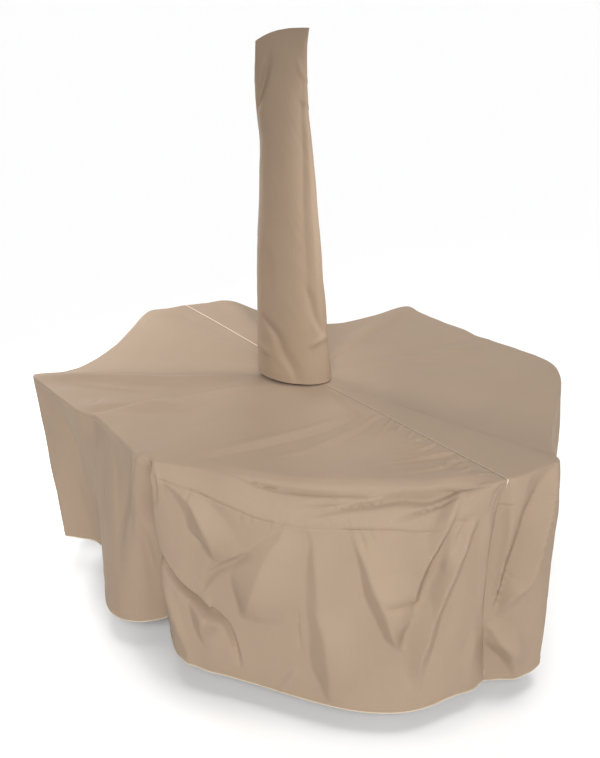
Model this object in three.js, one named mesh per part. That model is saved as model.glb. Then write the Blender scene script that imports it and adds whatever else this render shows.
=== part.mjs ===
// Patio dining set cover: an eight-sided top of two panels joined at a centre seam, a hanging skirt
// of two lengths, and a tall sleeve over the closed umbrella. The cloth lies as it does over a table
// with six chairs, two on each long side and one at each end, and shows their corners.
// Millimetres, +Z up. +X runs along the centre seam towards the near end, +Y to the right side.
// The origin is the centre of the pole hole, at the level of the top's underside.
import * as THREE from 'three';

// Driving sizes
const CLOTH = 2;
const SEAM_GAP = 0.3;
const ORIGIN_HEIGHT = 900;
const CENTRE_HEIGHT = 902;
const HOLE_RADIUS = 60;

// Steps of the sheets: round each half, in from the rim, over the lap, and down the skirt
const HALF_STEPS = 72;
const TOP_STEPS = [0, 0.14, 0.3, 0.48, 0.66, 0.83, 0.94, 1];
const LAP_STEPS = [0.5, 1];
const SKIRT_STEPS = [0.08, 0.2, 0.32, 0.44, 0.56, 0.68, 0.8, 0.91, 1];
const SLEEVE_STEPS = 36;

// The rise of the top follows f * f * (1 - f) from the hole to the rim, which this brings to one at its
// highest place
const MID_RISE_SCALE = 6.75;

// A fold fades in and out over these shares of its length, down to this share of its rise
const FOLD_FADE_IN = 0.2;
const FOLD_FADE_OUT = 0.15;
const FOLD_END_SHARE = 0.25;

// Colours of the two cloths and the tape, as sRGB
const TAN = '#b39d86';
const DARK_TAN = '#aa947c';
const CREAM = '#e4dac6';
const CLOTH_ROUGHNESS = 0.75;

// Stations round the rim, from the near seam to the far seam. A row holds the rim's place and height
// above the ground, how far the lap drops and stands out below it, the hem's place and height, and
// how far the top rises two thirds of the way out to the rim.
const STATION_COLUMNS = ['x', 'y', 'height', 'lapDrop', 'lapOut', 'hemX', 'hemY', 'hemHeight', 'midRise'];
const LEFT_STATIONS = [
  [1190, 0, 915, 97, -12, 1153, 0, 92, 0], // near seam
  [1186, -60, 914, 97, 0, 1166, -60, 94, 0], // near end chair, top
  [1134, -151, 905, 90, 50, 1168, -172, 100, 0], // near end chair, side
  [1062, -224, 892, 125, 74, 1163, -262, 98, -6], // near left quarter
  [1000, -301, 886, 120, 78, 1140, -348, 97, -6],
  [931, -392, 882, 118, 75, 1092, -430, 97, -6],
  [862, -485, 880, 118, 72, 1018, -516, 100, -6],
  [797, -561, 880, 118, 72, 900, -604, 106, -6],
  [703, -659, 886, 112, 66, 760, -700, 114, -4],
  [633, -734, 895, 96, 52, 665, -766, 119, -2],
  [550, -804, 906, 82, 42, 580, -828, 123, 0],
  [434, -928, 920, 52, 18, 470, -876, 135, 4], // second chair, near corner
  [350, -940, 918, 16, 6, 310, -832, 140, 0],
  [290, -939, 917, 12, 5, 248, -822, 140, 0], // tucked in between its legs
  [220, -937, 917, 12, 5, 182, -903, 132, 0],
  [150, -935, 918, 12, 5, 130, -960, 130, 0],
  [60, -933, 919, 12, 5, 45, -969, 131, 0],
  [-41, -934, 920, 12, 5, -45, -940, 136, 0], // second chair, far corner
  [-72, -950, 917, 12, 5, -120, -905, 141, -14], // gap between the chairs
  [-110, -968, 920, 12, 5, -195, -866, 150, -12], // first chair, near corner
  [-220, -973, 918, 12, 5, -300, -832, 164, -2],
  [-330, -978, 918, 12, 5, -385, -832, 176, 4],
  [-450, -983, 919, 12, 5, -450, -900, 186, 6],
  [-560, -980, 920, 12, 5, -494, -930, 190, 8], // first chair, far corner
  [-690, -800, 862, 60, 30, -690, -790, 165, 0], // far left quarter
  [-790, -660, 838, 90, 50, -830, -680, 140, 0],
  [-925, -470, 845, 90, 50, -990, -510, 125, 0],
  [-1035, -320, 882, 80, 40, -1085, -350, 120, 0],
  [-1120, -192, 918, 70, 15, -1120, -200, 120, 6], // far end chair
  [-1112, -90, 921, 70, 8, -1105, -90, 115, 4],
  [-1107, 0, 922, 70, 4, -1098, 0, 112, 4], // far seam
];
const RIGHT_STATIONS = [
  [1190, 0, 915, 97, -12, 1153, 0, 92, 0], // near seam
  [1192, 100, 917, 92, 12, 1200, 98, 98, 0],
  [1184, 218, 919, 98, 12, 1198, 208, 103, 0], // near end chair, corner
  [1107, 298, 908, 70, 10, 1095, 300, 106, -2], // near right quarter
  [944, 476, 899, 60, 10, 925, 470, 112, -4],
  [784, 666, 904, 50, 8, 765, 650, 120, -4],
  [690, 785, 911, 40, 8, 672, 765, 128, -2],
  [575, 886, 920, 25, 8, 560, 865, 136, 0], // third chair, near corner
  [460, 942, 921, 12, 6, 470, 900, 142, 0],
  [277, 946, 919, 12, 6, 285, 950, 136, 0],
  [100, 938, 918, 12, 6, 90, 925, 140, 0], // third chair, far corner
  [20, 934, 914, 12, 6, -5, 860, 148, -12], // gap between the chairs
  [-60, 938, 918, 12, 6, -100, 880, 150, -8], // fourth chair, near corner
  [-240, 940, 914, 12, 6, -230, 955, 140, 0],
  [-400, 938, 917, 12, 6, -400, 900, 150, 0],
  [-497, 930, 920, 20, 10, -520, 900, 150, 8], // fourth chair, far corner
  [-590, 805, 872, 60, 30, -640, 810, 140, 0], // far right quarter
  [-715, 640, 822, 90, 50, -770, 660, 125, 0],
  [-860, 470, 826, 90, 50, -930, 500, 118, 0],
  [-985, 335, 878, 80, 35, -1030, 350, 116, 0],
  [-1063, 235, 918, 70, 12, -1080, 235, 120, 2], // far end chair
  [-1092, 110, 921, 70, 8, -1095, 110, 114, 4],
  [-1107, 0, 922, 70, 4, -1098, 0, 112, 4], // far seam
];

// Folds of the skirt. A path holds places on the cloth: how far round the rim from the near seam, and
// how far below the seam that joins the skirt. The cloth stands out by rise along the path, and falls
// off over the widths to each side of it: near, towards the near seam, and far, away from it.
const LEFT_FOLDS = [
  { name: 'corner roll', rise: 30, near: 60, far: 80, path: [[1230, 0], [1318, 190], [1386, 400], [1420, 760]] },
  { name: 'valley beside the roll', rise: -34, near: 60, far: 60, path: [[1222, 40], [1250, 250], [1347, 600], [1357, 760]] },
  { name: 'slanting valley', rise: -26, near: 70, far: 50, path: [[1215, 250], [1067, 388], [937, 454], [898, 640]] },
  { name: 'upper facet', rise: 28, near: 190, far: 55, path: [[1140, 0], [1060, 60], [990, 167], [1005, 250]] },
  { name: 'slanting facet', rise: 30, near: 190, far: 70, path: [[730, 0], [811, 154], [893, 400]] },
  { name: 'upright facet', rise: 22, near: 150, far: 50, path: [[655, 10], [642, 200], [636, 400], [626, 620]] },
  { name: 'pocket, left arm', rise: 30, near: 180, far: 55, path: [[520, 0], [495, 105], [450, 215], [375, 420]] },
  { name: 'pocket, right arm', rise: -24, near: 50, far: 60, path: [[164, -60], [184, 30], [235, 140], [310, 260]] },
  { name: 'long slanting fold', rise: 24, near: 110, far: 60, path: [[112, 10], [150, 170], [222, 350], [290, 620]] },
  { name: 'chair back, upper', rise: 14, near: 110, far: 110, path: [[1640, 60], [1660, 350], [1690, 700]] },
  { name: 'chair back, far', rise: -14, near: 90, far: 90, path: [[1930, 80], [1910, 350], [1880, 700]] },
  { name: 'far quarter fold', rise: 30, near: 120, far: 60, path: [[2330, 20], [2390, 300], [2420, 620]] },
  { name: 'far quarter valley', rise: -28, near: 70, far: 90, path: [[2620, 10], [2600, 300], [2560, 620]] },
  { name: 'far quarter roll', rise: 26, near: 90, far: 110, path: [[2820, 10], [2790, 300], [2760, 620]] },
  { name: 'far end valley', rise: -22, near: 80, far: 60, path: [[3010, 20], [3030, 300], [3060, 620]] },
];
const RIGHT_FOLDS = [
  { name: 'near end facet', rise: 22, near: 55, far: 120, path: [[215, -60], [150, 40], [95, 120], [34, 320]] },
  { name: 'near end crease', rise: -14, near: 50, far: 70, path: [[228, 40], [158, 192], [110, 310], [57, 470]] },
  { name: 'near quarter fold', rise: 24, near: 70, far: 120, path: [[420, 10], [440, 300], [455, 640]] },
  { name: 'near quarter valley', rise: -22, near: 90, far: 60, path: [[610, 10], [590, 300], [570, 640]] },
  { name: 'third chair roll', rise: 20, near: 70, far: 110, path: [[980, 20], [1010, 350], [1040, 700]] },
  { name: 'third chair valley', rise: -16, near: 100, far: 80, path: [[1250, 60], [1260, 350], [1270, 700]] },
  { name: 'gap valley', rise: -22, near: 80, far: 80, path: [[1560, 20], [1555, 350], [1550, 700]] },
  { name: 'fourth chair roll', rise: 16, near: 90, far: 110, path: [[1790, 60], [1780, 350], [1760, 700]] },
  { name: 'far quarter fold', rise: 28, near: 70, far: 120, path: [[2290, 20], [2310, 300], [2340, 620]] },
  { name: 'far quarter valley', rise: -26, near: 90, far: 60, path: [[2520, 10], [2530, 300], [2550, 620]] },
  { name: 'far quarter roll', rise: 24, near: 110, far: 80, path: [[2720, 10], [2740, 300], [2760, 620]] },
];

// Folds of the top, with paths in plan. The cloth lifts by rise along the path.
const TOP_FOLDS = [
  { name: 'from the first chair', rise: 9, near: 150, far: 110, path: [[-470, -900], [-335, -720], [-244, -590], [-150, -340]] },
  { name: 'from the gap', rise: -9, near: 90, far: 90, path: [[-60, -890], [0, -740], [30, -600], [0, -330]] },
  { name: 'from the second chair', rise: 9, near: 120, far: 90, path: [[440, -860], [470, -680], [455, -450], [460, -120]] },
  { name: 'beside it', rise: 7, near: 80, far: 60, path: [[560, -520], [536, -380], [535, -210], [523, -60]] },
  { name: 'along the near edge', rise: -9, near: 90, far: 110, path: [[560, -700], [740, -480], [860, -380], [1010, -200]] },
  { name: 'from the fourth chair', rise: 12, near: 110, far: 150, path: [[-440, 860], [-314, 629], [-160, 320]] },
  { name: 'from the far end chair', rise: 9, near: 120, far: 120, path: [[-1030, -180], [-700, -130], [-330, -70]] },
];

// Sections of the sleeve, from its hem to its sewn top: the height above the ground, how far the
// centre leans to the right of the hem's, the half width and half depth, and the wide side's direction.
const SLEEVE_CENTRE = [0, -60];
const LEAN_DIRECTION = 57;
const SLEEVE_COLUMNS = ['height', 'lean', 'halfWidth', 'halfDepth', 'direction'];
const SLEEVE_SECTIONS = [
  [908, -6, 156, 100, 42],
  [985, -10, 153, 98, 42],
  [1065, -15, 149, 96, 43],
  [1150, -18, 145, 94, 43],
  [1237, -22, 141, 92, 44],
  [1340, -27, 135, 88, 45],
  [1444, -30, 129, 85, 46],
  [1550, -33, 122, 82, 47],
  [1650, -36, 114, 78, 48],
  [1760, -39, 107, 74, 49],
  [1875, -45, 101, 67, 50],
  [1985, -57, 99, 59, 51],
  [2090, -63, 99, 47, 52],
  [2180, -64, 98, 31, 53],
  [2235, -62, 98, 16, 54],
  [2283, -58, 100, 3.2, 55],
];
// The sewn top slopes down to the left by this much. The slope sets in over a length of the sleeve.
const SLEEVE_TOP_SLOPE = 48;
const SLOPE_FROM_HEIGHT = 1985;
const SLOPE_SETS_IN_OVER = 300;
const SLOPE_POWER = 3;
// The inner wall ends this far below the outer one
const SLEEVE_TOP_INSET = 8;

// The tape on the far half of the centre seam
const TAPE_WIDTH = 8;
const TAPE_THICKNESS = 1;
const TAPE_LIFT = 0.5;

// The near end seam bows towards the left between rim and hem: by how much, from which height over the
// part's origin and how far down, from where along the part, and how far to each side of the seam
const SEAM_BOW = 42;
const BOW_TOP = 15;
const BOW_LENGTH = 815;
const BOW_SHAPE = 0.8;
const BOW_FROM_X = 700;
const BOW_SETS_IN_OVER = 400;
const BOW_FULL_WIDTH = 30;
const BOW_FADE_WIDTH = 190;

const radians = (degrees) => (degrees * Math.PI) / 180;
const mix = (a, b, t) => a + (b - a) * t;
const smoothstep = (t) => {
  const c = Math.min(Math.max(t, 0), 1);
  return c * c * (3 - 2 * c);
};

// A smooth curve through the rows of a table, as a function of the length along its rim
function curveThrough(rows, columns) {
  const lengths = [0];
  for (let k = 1; k < rows.length; k++) {
    const [a, b] = [rows[k - 1], rows[k]];
    lengths.push(lengths[k - 1] + Math.hypot(b[0] - a[0], b[1] - a[1]));
  }
  const last = rows.length - 1;
  const slope = (k, c) => {
    const [a, b] = [Math.max(k - 1, 0), Math.min(k + 1, last)];
    return (rows[b][c] - rows[a][c]) / (lengths[b] - lengths[a]);
  };
  const at = (s) => {
    let k = 0;
    while (k < last - 1 && s >= lengths[k + 1]) k++;
    const step = lengths[k + 1] - lengths[k];
    const t = (s - lengths[k]) / step;
    const row = {};
    columns.forEach((column, c) => {
      row[column] = (2 * t ** 3 - 3 * t ** 2 + 1) * rows[k][c]
        + (t ** 3 - 2 * t ** 2 + t) * step * slope(k, c)
        + (3 * t ** 2 - 2 * t ** 3) * rows[k + 1][c]
        + (t ** 3 - t ** 2) * step * slope(k + 1, c);
    });
    return row;
  };
  return { at, total: lengths[last] };
}

// How far one fold lifts the cloth at the place (u, v)
function foldRise(fold, u, v) {
  let nearest = { distance: Infinity, side: 1, along: 0 };
  let walked = 0;
  for (let k = 1; k < fold.path.length; k++) {
    const [[ax, ay], [bx, by]] = [fold.path[k - 1], fold.path[k]];
    const [dx, dy] = [bx - ax, by - ay];
    const length = Math.hypot(dx, dy);
    const t = Math.min(Math.max(((u - ax) * dx + (v - ay) * dy) / length ** 2, 0), 1);
    const [ox, oy] = [u - ax - dx * t, v - ay - dy * t];
    const distance = Math.hypot(ox, oy);
    if (distance < nearest.distance) {
      nearest = { distance, side: dx * oy - dy * ox, along: walked + length * t };
    }
    walked += length;
  }
  const width = nearest.side > 0 ? fold.near : fold.far;
  const across = Math.min(nearest.distance / width, 1);
  const fadeIn = smoothstep(nearest.along / (FOLD_FADE_IN * walked));
  const fadeOut = smoothstep((walked - nearest.along) / (FOLD_FADE_OUT * walked));
  return fold.rise * (1 - across ** 2) ** 2 * mix(FOLD_END_SHARE, 1, fadeIn * fadeOut);
}
const riseOf = (folds, u, v) => folds.reduce((sum, fold) => sum + foldRise(fold, u, v), 0);

// The outer face of one half of the cover, as a grid of points: a row for each step from the pole hole
// over the rim and the lap to the hem, a column for each step round the rim
function halfGrid(stations, folds, side) {
  const curve = curveThrough(stations, STATION_COLUMNS);
  const rows = [...TOP_STEPS, ...LAP_STEPS, ...SKIRT_STEPS].map(() => []);
  for (let j = 0; j <= HALF_STEPS; j++) {
    const s = (curve.total * j) / HALF_STEPS;
    const p = curve.at(s);
    const before = curve.at(Math.max(s - 1, 0));
    const after = curve.at(Math.min(s + 1, curve.total));
    const out = new THREE.Vector2(-(after.y - before.y) * side, (after.x - before.x) * side).negate().normalize();
    if (j === 0) out.set(1, 0);
    if (j === HALF_STEPS) out.set(-1, 0);
    const angle = Math.atan2(p.y, p.x);
    const hole = new THREE.Vector2(HOLE_RADIUS * Math.cos(angle), HOLE_RADIUS * Math.sin(angle));
    const column = [];
    const topLift = (x, y) => riseOf(TOP_FOLDS, x, y);
    for (const f of TOP_STEPS) {
      const [x, y] = [mix(hole.x, p.x, f), mix(hole.y, p.y, f)];
      const rise = MID_RISE_SCALE * p.midRise * f * f * (1 - f) + topLift(x, y);
      column.push([x, y, mix(CENTRE_HEIGHT, p.height, f) + rise]);
    }
    const rimLift = topLift(p.x, p.y);
    for (const f of LAP_STEPS) {
      const drop = p.lapDrop * f;
      const reach = p.lapOut * Math.sin((f * Math.PI) / 2) + riseOf(folds, s, drop - p.lapDrop);
      column.push([p.x + out.x * reach, p.y + out.y * reach, p.height - drop + rimLift * (1 - f)]);
    }
    const belt = { x: p.x + out.x * p.lapOut, y: p.y + out.y * p.lapOut, height: p.height - p.lapDrop };
    for (const f of SKIRT_STEPS) {
      const height = mix(belt.height, p.hemHeight, f);
      const lift = riseOf(folds, s, belt.height - height);
      column.push([mix(belt.x, p.hemX, f) + out.x * lift, mix(belt.y, p.hemY, f) + out.y * lift, height]);
    }
    column.forEach(([x, y, height], i) => rows[i].push(new THREE.Vector3(x, y, height - ORIGIN_HEIGHT)));
  }
  for (const row of rows) {
    row[0].y = 0;
    row[HALF_STEPS].y = 0;
  }
  return rows;
}

// The directions out of the cloth at each point of a grid. At the two seams they lie in the seam's plane.
function gridNormals(grid, side) {
  const [lastRow, lastColumn] = [grid.length - 1, grid[0].length - 1];
  return grid.map((row, i) => row.map((point, j) => {
    const down = grid[Math.min(i + 1, lastRow)][j].clone().sub(grid[Math.max(i - 1, 0)][j]);
    const along = row[Math.min(j + 1, lastColumn)].clone().sub(row[Math.max(j - 1, 0)]);
    const normal = down.cross(along).multiplyScalar(side);
    if (j === 0 || j === lastColumn) normal.y = 0;
    return normal.normalize();
  }));
}

// The near end seam's bow, the same for every piece
function bowed(point) {
  const down = (BOW_TOP - point.z) / BOW_LENGTH;
  const alongPart = smoothstep((point.x - BOW_FROM_X) / BOW_SETS_IN_OVER);
  const besideSeam = 1 - smoothstep((Math.abs(point.y) - BOW_FULL_WIDTH) / BOW_FADE_WIDTH);
  const bow = down > 0 && down < 1 ? Math.sin(Math.PI * down ** BOW_SHAPE) : 0;
  return new THREE.Vector3(point.x, point.y - SEAM_BOW * bow * alongPart * besideSeam, point.z);
}

// A closed mesh from two like grids of points, the outer face and the inner one
function sheetGeometry(outer, inner, side) {
  const [rows, columns] = [outer.length, outer[0].length];
  const points = [...outer.flat(), ...inner.flat()];
  const index = [];
  const outerAt = (i, j) => i * columns + j;
  const innerAt = (i, j) => rows * columns + i * columns + j;
  const quad = (a, b, c, d) => {
    if (side > 0) index.push(a, b, c, a, c, d);
    else index.push(a, c, b, a, d, c);
  };
  for (let i = 0; i < rows - 1; i++) {
    for (let j = 0; j < columns - 1; j++) {
      quad(outerAt(i, j), outerAt(i + 1, j), outerAt(i + 1, j + 1), outerAt(i, j + 1));
      quad(innerAt(i, j), innerAt(i, j + 1), innerAt(i + 1, j + 1), innerAt(i + 1, j));
    }
    quad(outerAt(i, 0), innerAt(i, 0), innerAt(i + 1, 0), outerAt(i + 1, 0));
    quad(outerAt(i, columns - 1), outerAt(i + 1, columns - 1), innerAt(i + 1, columns - 1), innerAt(i, columns - 1));
  }
  for (let j = 0; j < columns - 1; j++) {
    quad(outerAt(0, j), outerAt(0, j + 1), innerAt(0, j + 1), innerAt(0, j));
    quad(outerAt(rows - 1, j), innerAt(rows - 1, j), innerAt(rows - 1, j + 1), outerAt(rows - 1, j + 1));
  }
  return geometryOf(points, index);
}

function geometryOf(points, index) {
  const geometry = new THREE.BufferGeometry();
  geometry.setAttribute('position', new THREE.Float32BufferAttribute(points.flatMap((p) => p.toArray()), 3));
  geometry.setIndex(index);
  geometry.computeVertexNormals();
  return geometry;
}

function clothMesh(name, geometry, colour) {
  const material = new THREE.MeshStandardMaterial({ color: colour, roughness: CLOTH_ROUGHNESS, metalness: 0 });
  const mesh = new THREE.Mesh(geometry, material);
  mesh.name = name;
  return mesh;
}

// The top panel and the skirt length of one half. They meet at the lap's lower edge, and both halves
// meet at the seams, with the seam gap between them.
function buildHalf(word, stations, folds, side) {
  const grid = halfGrid(stations, folds, side);
  const normals = gridNormals(grid, side);
  const belt = TOP_STEPS.length + LAP_STEPS.length - 1;
  const half = SEAM_GAP / 2;
  const piece = (from, to) => {
    const faces = [0, -CLOTH].map((depth) => grid.slice(from, to + 1).map((row, k) => row.map((point, j) => {
      const i = from + k;
      const moved = point.clone().addScaledVector(normals[i][j], depth);
      if (i === belt) {
        const down = grid[i + 1][j].clone().sub(grid[i - 1][j]).normalize();
        moved.addScaledVector(down, from === belt ? half : -half);
      }
      if (j === 0 || j === HALF_STEPS) moved.y += side * half;
      return bowed(moved);
    })));
    return sheetGeometry(faces[0], faces[1], side);
  };
  return [
    clothMesh(`top_panel_${word}`, piece(0, belt), TAN),
    clothMesh(`skirt_${word}`, piece(belt, grid.length - 1), TAN),
  ];
}

// One ring of the sleeve, drawn in by the given depth. The sewn top slopes up to the right.
function sleeveRing(section, inset, isTop) {
  const lean = radians(LEAN_DIRECTION);
  const wide = radians(section.direction);
  const centre = [
    SLEEVE_CENTRE[0] + section.lean * Math.cos(lean),
    SLEEVE_CENTRE[1] + section.lean * Math.sin(lean),
  ];
  const ring = [];
  for (let k = 0; k < SLEEVE_STEPS; k++) {
    const angle = (2 * Math.PI * k) / SLEEVE_STEPS;
    const across = (section.halfWidth - inset) * Math.cos(angle);
    const deep = (section.halfDepth - inset) * Math.sin(angle);
    const setIn = smoothstep((section.height - SLOPE_FROM_HEIGHT) / SLOPE_SETS_IN_OVER);
    const slope = setIn * SLEEVE_TOP_SLOPE * ((1 - Math.cos(angle)) / 2) ** SLOPE_POWER;
    ring.push(new THREE.Vector3(
      centre[0] + across * Math.cos(wide) + deep * Math.sin(wide),
      centre[1] + across * Math.sin(wide) - deep * Math.cos(wide),
      section.height - slope - (isTop && inset > 0 ? SLEEVE_TOP_INSET : 0) - ORIGIN_HEIGHT,
    ));
  }
  return ring;
}

function buildSleeve() {
  const sections = SLEEVE_SECTIONS.map((row) => Object.fromEntries(SLEEVE_COLUMNS.map((name, c) => [name, row[c]])));
  const last = sections.length - 1;
  const rings = [0, CLOTH].map((inset) => sections.map((section, i) => sleeveRing(section, inset, i === last)));
  const points = [...rings[0].flat(), ...rings[1].flat()];
  const at = (wall, i, k) => (wall * sections.length + i) * SLEEVE_STEPS + (k % SLEEVE_STEPS);
  const index = [];
  const quad = (a, b, c, d) => index.push(a, b, c, a, c, d);
  for (let k = 0; k < SLEEVE_STEPS; k++) {
    for (let i = 0; i < last; i++) {
      quad(at(0, i, k), at(0, i + 1, k), at(0, i + 1, k + 1), at(0, i, k + 1));
      quad(at(1, i, k), at(1, i, k + 1), at(1, i + 1, k + 1), at(1, i + 1, k));
    }
    quad(at(0, 0, k), at(0, 0, k + 1), at(1, 0, k + 1), at(1, 0, k));
  }
  // The two walls close on each other across the sewn top
  for (const wall of [0, 1]) {
    const cap = (a, b, c) => (wall === 0 ? index.push(a, b, c) : index.push(a, c, b));
    for (let k = 0; k < SLEEVE_STEPS / 2; k++) {
      const [front, nextFront] = [at(wall, last, k), at(wall, last, k + 1)];
      const [back, nextBack] = [at(wall, last, SLEEVE_STEPS - k), at(wall, last, SLEEVE_STEPS - k - 1)];
      if (front !== back) cap(front, back, nextFront);
      if (nextFront !== nextBack) cap(nextFront, back, nextBack);
    }
  }
  return clothMesh('umbrella_sleeve', geometryOf(points, index), DARK_TAN);
}

// The cream tape lies on the centre seam from the pole hole to the far rim
function buildTape() {
  const grid = halfGrid(LEFT_STATIONS, LEFT_FOLDS, -1);
  const line = TOP_STEPS.map((_, i) => grid[i][HALF_STEPS]);
  const across = [-TAPE_WIDTH / 2, TAPE_WIDTH / 2];
  const face = (lift) => line.map((p) => across.map((y) => new THREE.Vector3(p.x, y, p.z + lift)));
  return clothMesh('seam_tape', sheetGeometry(face(TAPE_LIFT + TAPE_THICKNESS), face(TAPE_LIFT), -1), CREAM);
}

const cover = new THREE.Group();
cover.name = 'patio_dining_set_cover';
cover.add(...buildHalf('left', LEFT_STATIONS, LEFT_FOLDS, -1));
cover.add(...buildHalf('right', RIGHT_STATIONS, RIGHT_FOLDS, 1));
cover.add(buildSleeve());
cover.add(buildTape());

export default cover;
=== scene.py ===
import logging
import math
from dataclasses import dataclass, field
from enum import Enum
from typing import Any, Mapping, Sequence

import bmesh
import bpy
import numpy as np
from mathutils import Matrix, Vector


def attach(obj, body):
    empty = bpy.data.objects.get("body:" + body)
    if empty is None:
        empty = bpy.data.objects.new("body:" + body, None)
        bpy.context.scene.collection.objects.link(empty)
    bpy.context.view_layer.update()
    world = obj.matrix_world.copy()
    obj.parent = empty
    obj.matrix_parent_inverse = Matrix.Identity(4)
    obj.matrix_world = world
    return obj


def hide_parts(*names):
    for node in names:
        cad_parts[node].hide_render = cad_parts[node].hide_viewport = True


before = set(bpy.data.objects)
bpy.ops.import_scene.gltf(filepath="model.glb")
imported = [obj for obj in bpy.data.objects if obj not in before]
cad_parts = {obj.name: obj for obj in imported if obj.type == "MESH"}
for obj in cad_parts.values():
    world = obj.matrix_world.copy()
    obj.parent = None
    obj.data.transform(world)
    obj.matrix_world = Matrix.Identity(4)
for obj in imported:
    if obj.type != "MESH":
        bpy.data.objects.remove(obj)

# Patio dining set cover: two halves of a wide top with a hanging skirt, sewn along the middle, and a
# tall sleeve that stands on them. The tables of places are in millimetres, in the frame of the part:
# +X along the centre seam to the near end, +Y to the right side, +Z up from the middle of the top.
log = logging.getLogger("patio_cover")
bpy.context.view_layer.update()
MM = 0.001
BODY = "root"

# Heights above the ground of the origin and of the cloth at the pole hole, and that hole's radius
ORIGIN_HEIGHT = 900.0
CENTRE_HEIGHT = 902.0
HOLE_RADIUS = 60.0
# Where two faces of a piece meet more sharply than this, the edge is drawn sharp
SHARP_ANGLE = math.radians(60.0)
# How finely a fold's path is followed between two of its rows
FOLD_STEPS_PER_ROW = 6
# f * f * (1 - f) is highest two thirds of the way out, and this factor makes it one there
RISE_FACTOR = 6.75
# Soft waves of the hanging cloth: the distance between the random values, the height and the seed
SOFT_WAVES = ((170.0, 2.6, 3), (70.0, 1.0, 5), (28.0, 0.35, 7))
# On the top the waves are this much wider and lower. They go over into those of the hanging cloth
# above the belt seam, over the length given here.
TOP_WAVES_WIDER = 1.3
TOP_WAVES_LOWER = 0.5
TOP_WAVES_END = -260.0
TOP_WAVES_FADE = 200.0
# One degree round the sleeve is about this much cloth
MM_PER_DEGREE = 2.1
# The place on the top that the soft boxes point at, in metres
AIM_PLACE = (0.1, -0.05)

Array = np.ndarray
Row = tuple[float, ...]
Links = Mapping[str, Any]


class Side(Enum):
    """The half of the cover, with the sign of its Y."""

    LEFT = -1
    RIGHT = 1


class ShadeName(Enum):
    """The sRGB colours of the cloths, the threads and the floor."""

    COVER = "#978471"
    SLEEVE = "#97836f"
    TAPE = "#cdbba6"
    PIPING = "#b09c86"
    THREAD = "#a59079"
    CORD = "#c2b39b"
    SHEEN = "#fff4e4"
    FLOOR = "#f7f7f7"


@dataclass(frozen=True)
class Fold:
    """A fold of the cloth along a path.

    Attributes:
        name: what it is.
        rows: places (u, v) on the cloth, with the rise there and the width to each side, near and far.
        crest: share of the width over which the top of the fold is rounded.
        foot: share of the width over which its near side runs out into the cloth.
        far_foot: the same for its far side, where it isn't like the near side.
        steeper: factor on its rises, for a crease that the light has to pick out.
    """

    name: str
    rows: tuple[Row, ...]
    crest: float = 0.3
    foot: float = 0.5
    far_foot: float | None = None
    steeper: float = 1.0

    def foot_shares(self) -> tuple[float, float]:
        """Gives the rounded shares at the near and the far foot."""
        return self.foot, self.foot if self.far_foot is None else self.far_foot


# Stations round the rim, from the near seam to the far seam: the rim's place and height above the
# ground, how far the lap drops and stands out below it, the hem's place and height, and how far the top
# rises two thirds of the way out to the rim
LEFT_STATIONS: tuple[Row, ...] = (
    (1190, 0, 915, 97, -12, 1153, 0, 92, 0),
    (1186, -60, 914, 97, 0, 1166, -60, 94, 0),
    (1134, -151, 905, 90, 50, 1168, -172, 100, 0),
    (1062, -224, 892, 125, 74, 1163, -262, 98, -6),
    (1000, -301, 886, 120, 78, 1140, -348, 97, -6),
    (931, -392, 882, 118, 75, 1092, -430, 97, -6),
    (862, -485, 880, 118, 72, 1018, -516, 100, -6),
    (797, -561, 880, 118, 72, 900, -604, 101, -6),
    (703, -659, 886, 112, 66, 760, -700, 108, -4),
    (633, -734, 895, 90, 52, 665, -766, 112, -2),
    (550, -804, 906, 72, 42, 580, -828, 117, 0),
    (434, -928, 920, 47, 18, 470, -876, 135, 4),
    (350, -940, 918, 16, 6, 310, -832, 140, 0),
    (290, -939, 917, 12, 5, 248, -822, 140, 0),
    (220, -937, 917, 12, 5, 182, -903, 132, 0),
    (150, -935, 918, 12, 5, 130, -960, 130, 0),
    (60, -933, 919, 12, 5, 45, -969, 131, 0),
    (-41, -934, 920, 12, 5, -45, -940, 136, 0),
    (-72, -950, 917, 12, 5, -120, -905, 141, -14),
    (-110, -968, 920, 12, 5, -195, -866, 150, -12),
    (-220, -973, 918, 12, 5, -300, -832, 164, -2),
    (-330, -978, 918, 12, 5, -385, -832, 176, 4),
    (-450, -983, 919, 12, 5, -450, -900, 186, 6),
    (-560, -980, 920, 12, 5, -494, -930, 190, 8),
    (-690, -800, 862, 60, 30, -690, -790, 165, 0),
    (-790, -660, 838, 90, 50, -830, -680, 140, 0),
    (-925, -470, 845, 90, 50, -990, -510, 125, 0),
    (-1035, -320, 882, 80, 40, -1085, -350, 120, 0),
    (-1120, -192, 918, 70, 15, -1120, -200, 120, 6),
    (-1112, -90, 921, 70, 8, -1105, -90, 115, 4),
    (-1107, 0, 922, 70, 4, -1098, 0, 112, 4),
)
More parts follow.
